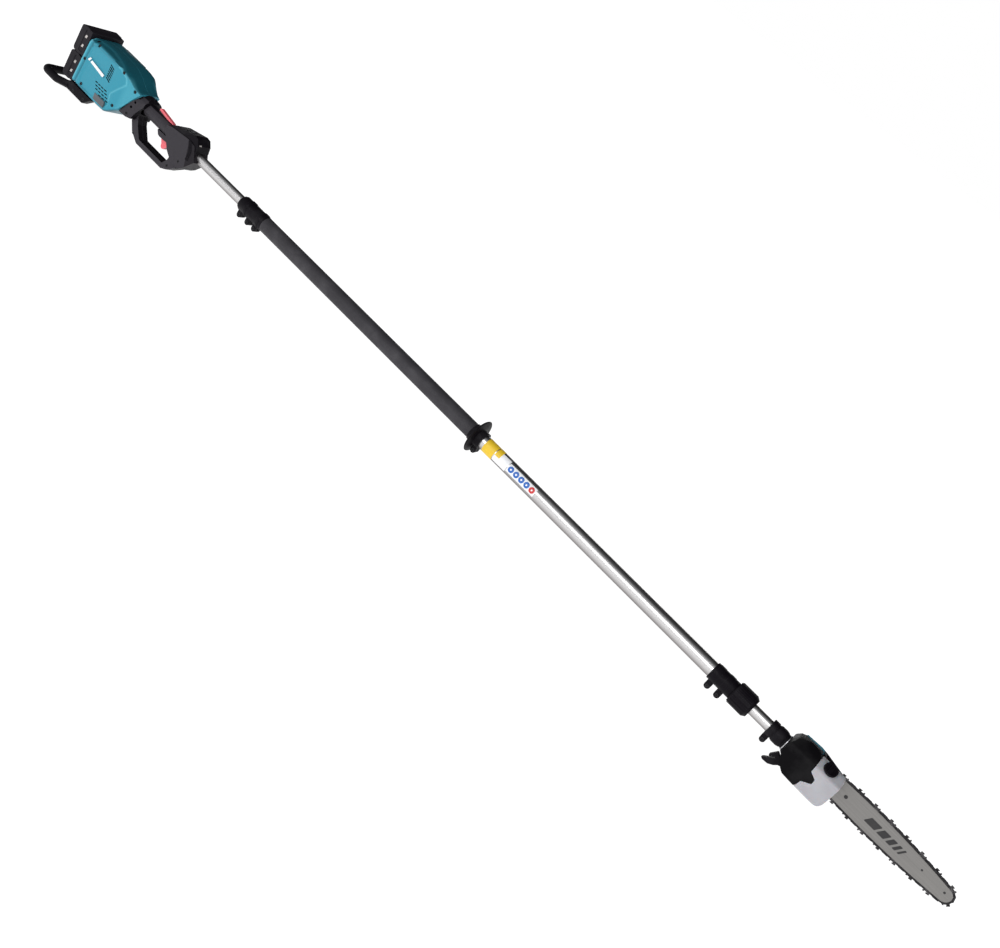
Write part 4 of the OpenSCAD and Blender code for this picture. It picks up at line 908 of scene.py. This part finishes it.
def build_battery(level):
    mid = PACK_MID[level]
    shape = [(76.2, mid - 34.3), (103.5, mid - 34.3), (106, mid - 32.6), (116.9, mid - 32.6),
             (116.9, mid + 32.6), (106, mid + 32.6), (103.5, mid + 34.3), (76.2, mid + 34.3)]
    o = prism(level + "_pack", fillet(shape, [10, 1, 1, 1, 1, 1, 1, 8], 6), PACK_NEAR, PACK_FAR)
    rail = prism("rail", [(116.5, mid - 16), (121, mid - 16), (121, mid - 13), (126, mid - 13),
                          (126, mid - 16), (129.9, mid - 16), (129.9, mid + 16), (126, mid + 16),
                          (126, mid + 13), (121, mid + 13), (121, mid + 16), (116.5, mid + 16)], -32, 32)
    combine(o, [rail])
    cuts = [box("slot", (122, -60, mid + s * 8 - 1.6), (140, 10, mid + s * 8 + 1.6)) for s in (-1, 1)]
    cuts.append(box("pocket", (92, 36, mid - 15.4), (112.4, 60, mid + 15.4)))
    # Grooves across the top, the bottom and the rear, and a shallow step at the near end
    for x in (84, 88, 92):
        for z in (mid - 34.9, mid + 34.9):
            cuts.append(box("groove", (x, -40, z - 1.4), (x + 1.6, 30, z + 1.4)))
    for k in range(4):
        cuts.append(box("groove", (75.5, -40, mid - 12 + k * 7), (77.2, 30, mid - 9.6 + k * 7)))
    step = fillet([(94, mid - 28), (110, mid - 28), (110, mid + 28), (94, mid + 28)], 3, 3)
    cuts.append(prism("step", step, -56, -53.4))
    combine(o, [joined("cuts", cuts)], "DIFFERENCE")
    body = level + "_battery"
    piece(o, body, "pack_plastic", body + "_case", bevel=0.7, segments=2)
    highlights = []
    # Painted highlights: two pale patches on the near end of each pack
    for z in (mid + 12, mid - 13):
        outline = fillet([(97, z - 4), (104, z - 3), (105, z + 4.5), (99, z + 3.5)], 1.2, 3)
        highlights.append(prism("patch", outline, -53.6, -52.9))
    piece(joined(level + "_pack_highlights", highlights), body, "nylon", mats=[PAINTED_HIGHLIGHT])


# ---------- Labels on the pole ----------

# Just above the thick tube's surface, in mm from its axis
LABEL_R = 17.02


def build_labels():
    r = LABEL_R
    piece(wrap("label_yellow", 1560, 1590, -20, 150, r), "tool", "nylon", mats=[YELLOW])
    piece(wrap("label_white", 1592, 1631, 20, 120, r), "tool", "nylon", mats=[WHITE])
    piece(wrap("label_corner", 1592, 1606, -18, 75, r + 0.2, 0.2), "tool", "nylon", mats=[YELLOW])
    piece(wrap("label_disc_back", 1633, 1716, 36, 104, r), "tool", "nylon", mats=[WHITE])
    for i in range(5):
        s = 1635 + i * 16
        disc = wrap("label_disc_%d" % i, s, s + 14.5, 46, 94, r + 0.22, 0.2, disc=True)
        piece(disc, "tool", "nylon", mats=[RED if i == 4 else BLUE])
        dot = wrap("label_dot_%d" % i, s + 5.2, s + 9.3, 63, 77, r + 0.43, 0.15, disc=True)
        piece(dot, "tool", "nylon", mats=[WHITE])


# ---------- Cutting head ----------

TANK = [(2487.6, 37), (2489.6, 12), (2505.2, 4.2), (2506.4, -7), (2488.8, -18), (2486.8, -38.6),
        (2547, -38.6), (2547, 37)]
COVER = [(2425.1, 22), (2425.1, 0), (2436, -21), (2456, -35.5), (2485.5, -38.3), (2487.3, -17.8),
         (2504.8, -6.6), (2503.8, 3.5), (2488.3, 11.4), (2486.3, 38.5), (2476, 44.6), (2453, 44.6),
         (2433, 38)]
# Radii of their corners, how steeply their tops rise from the near side in degrees, and their lowest height
TANK_ROUND = [2, 3, 2, 2, 3, 2, 25, 8]
COVER_ROUND = [2, 8, 9, 8, 2, 2, 2, 2, 2, 3, 10, 10, 7]
TANK_RISE, COVER_RISE = 27, 38
HEAD_LOW = -38.5
# Their near face, and the place in y and z where their sloping tops start
HEAD_NEAR = -40
EAVE_Y, EAVE_Z = -37, 25
# Middle of the oil cap, along and across
CAP_S, CAP_Y = 2513, -20.5
# From just in front of the guide bar's near face to just inside it
BAR_PRINT = (15.7, 16.02)


def head_block(name, outline, radii, y_in, rise):
    """Block with this side outline from the near side in to y_in, cut to a section with a sloping top."""
    top = EAVE_Z + (y_in - EAVE_Y) * math.tan(math.radians(rise))
    o = prism(name, fillet(outline, radii, 6), HEAD_NEAR, y_in)
    corners = [(y_in, HEAD_LOW), (y_in, top), (-38.2, 24.2), (HEAD_NEAR, HEAD_LOW + 5), (-34, HEAD_LOW)]
    section = fillet(corners, [0, 0, 12, 7, 5], 7)
    combine(o, [section_bar("section", section, 2400, 2570)], "INTERSECT")
    return o


def build_head():
    tank = head_block("tank_shell", TANK, TANK_ROUND, -2.3, TANK_RISE)
    # Hole for the filler neck and a flat seat round it, square to the sloping top
    rise = math.radians(TANK_RISE)
    cap_axis = (0, -math.sin(rise), math.cos(rise))
    centre = at(CAP_S, CAP_Y, EAVE_Z + (CAP_Y - EAVE_Y) * math.tan(rise))
    profile = [(AXIS_R, -9), (11.6, -9), (11.6, -0.4), (16.2, -0.4), (16.2, 14), (AXIS_R, 14)]
    combine(tank, [lathe("well", profile, centre, cap_axis, 40)], "DIFFERENCE")
    piece(tank, "head", "tank_plastic", "oil_tank", bevel=2.4, segments=4, angle=30)
    cover = head_block("cover_shell", COVER, COVER_ROUND, -11.4, COVER_RISE)
    combine(cover, [screw_wells([(2442, 17)], lambda x, z: 40, 3.8)], "DIFFERENCE")
    piece(cover, "head", "black_plastic", "head_cover", mats=[COVER_BLACK], bevel=2.0, segments=4, angle=30)
    # Dark plug through the bar, two rivets near its nose, and slanted stripes in place of the mark
    for name, s, z, r, y0, y1 in (("bar_plug", 2571, 0, 3.8, 15.4, 20.6),
                                  ("bar_rivet_0", 2755, 3.5, 2.2, 15.75, 16.1),
                                  ("bar_rivet_1", 2809, 3, 2.4, 15.75, 16.1)):
        o = lathe(name, [(AXIS_R, y0), (r, y0), (r, y1), (AXIS_R, y1)], at(s, 0, z), (0, 1, 0), 24)
        piece(o, "head", "steel", mats=[DARK_PRINT_AND_SHADE])
    stripes = []
    for s, wide in ((2622, 26), (2653, 17), (2675, 11), (2691, 7), (2703, 4.5)):
        outline = [(s, -8), (s + wide, -8), (s + wide + 8, 8), (s + 8, 8)]
        stripes.append(prism("stripe", fillet(outline, 1.5, 3), *BAR_PRINT))
    piece(joined("bar_stripes", stripes), "head", "steel", mats=[DARK_PRINT_AND_SHADE])


for sign, side in SIDES:
    build_housing_side(sign, side)
build_screws()
build_unit_trim()
for level in PACK_MID:
    build_battery(level)
build_labels()
build_head()
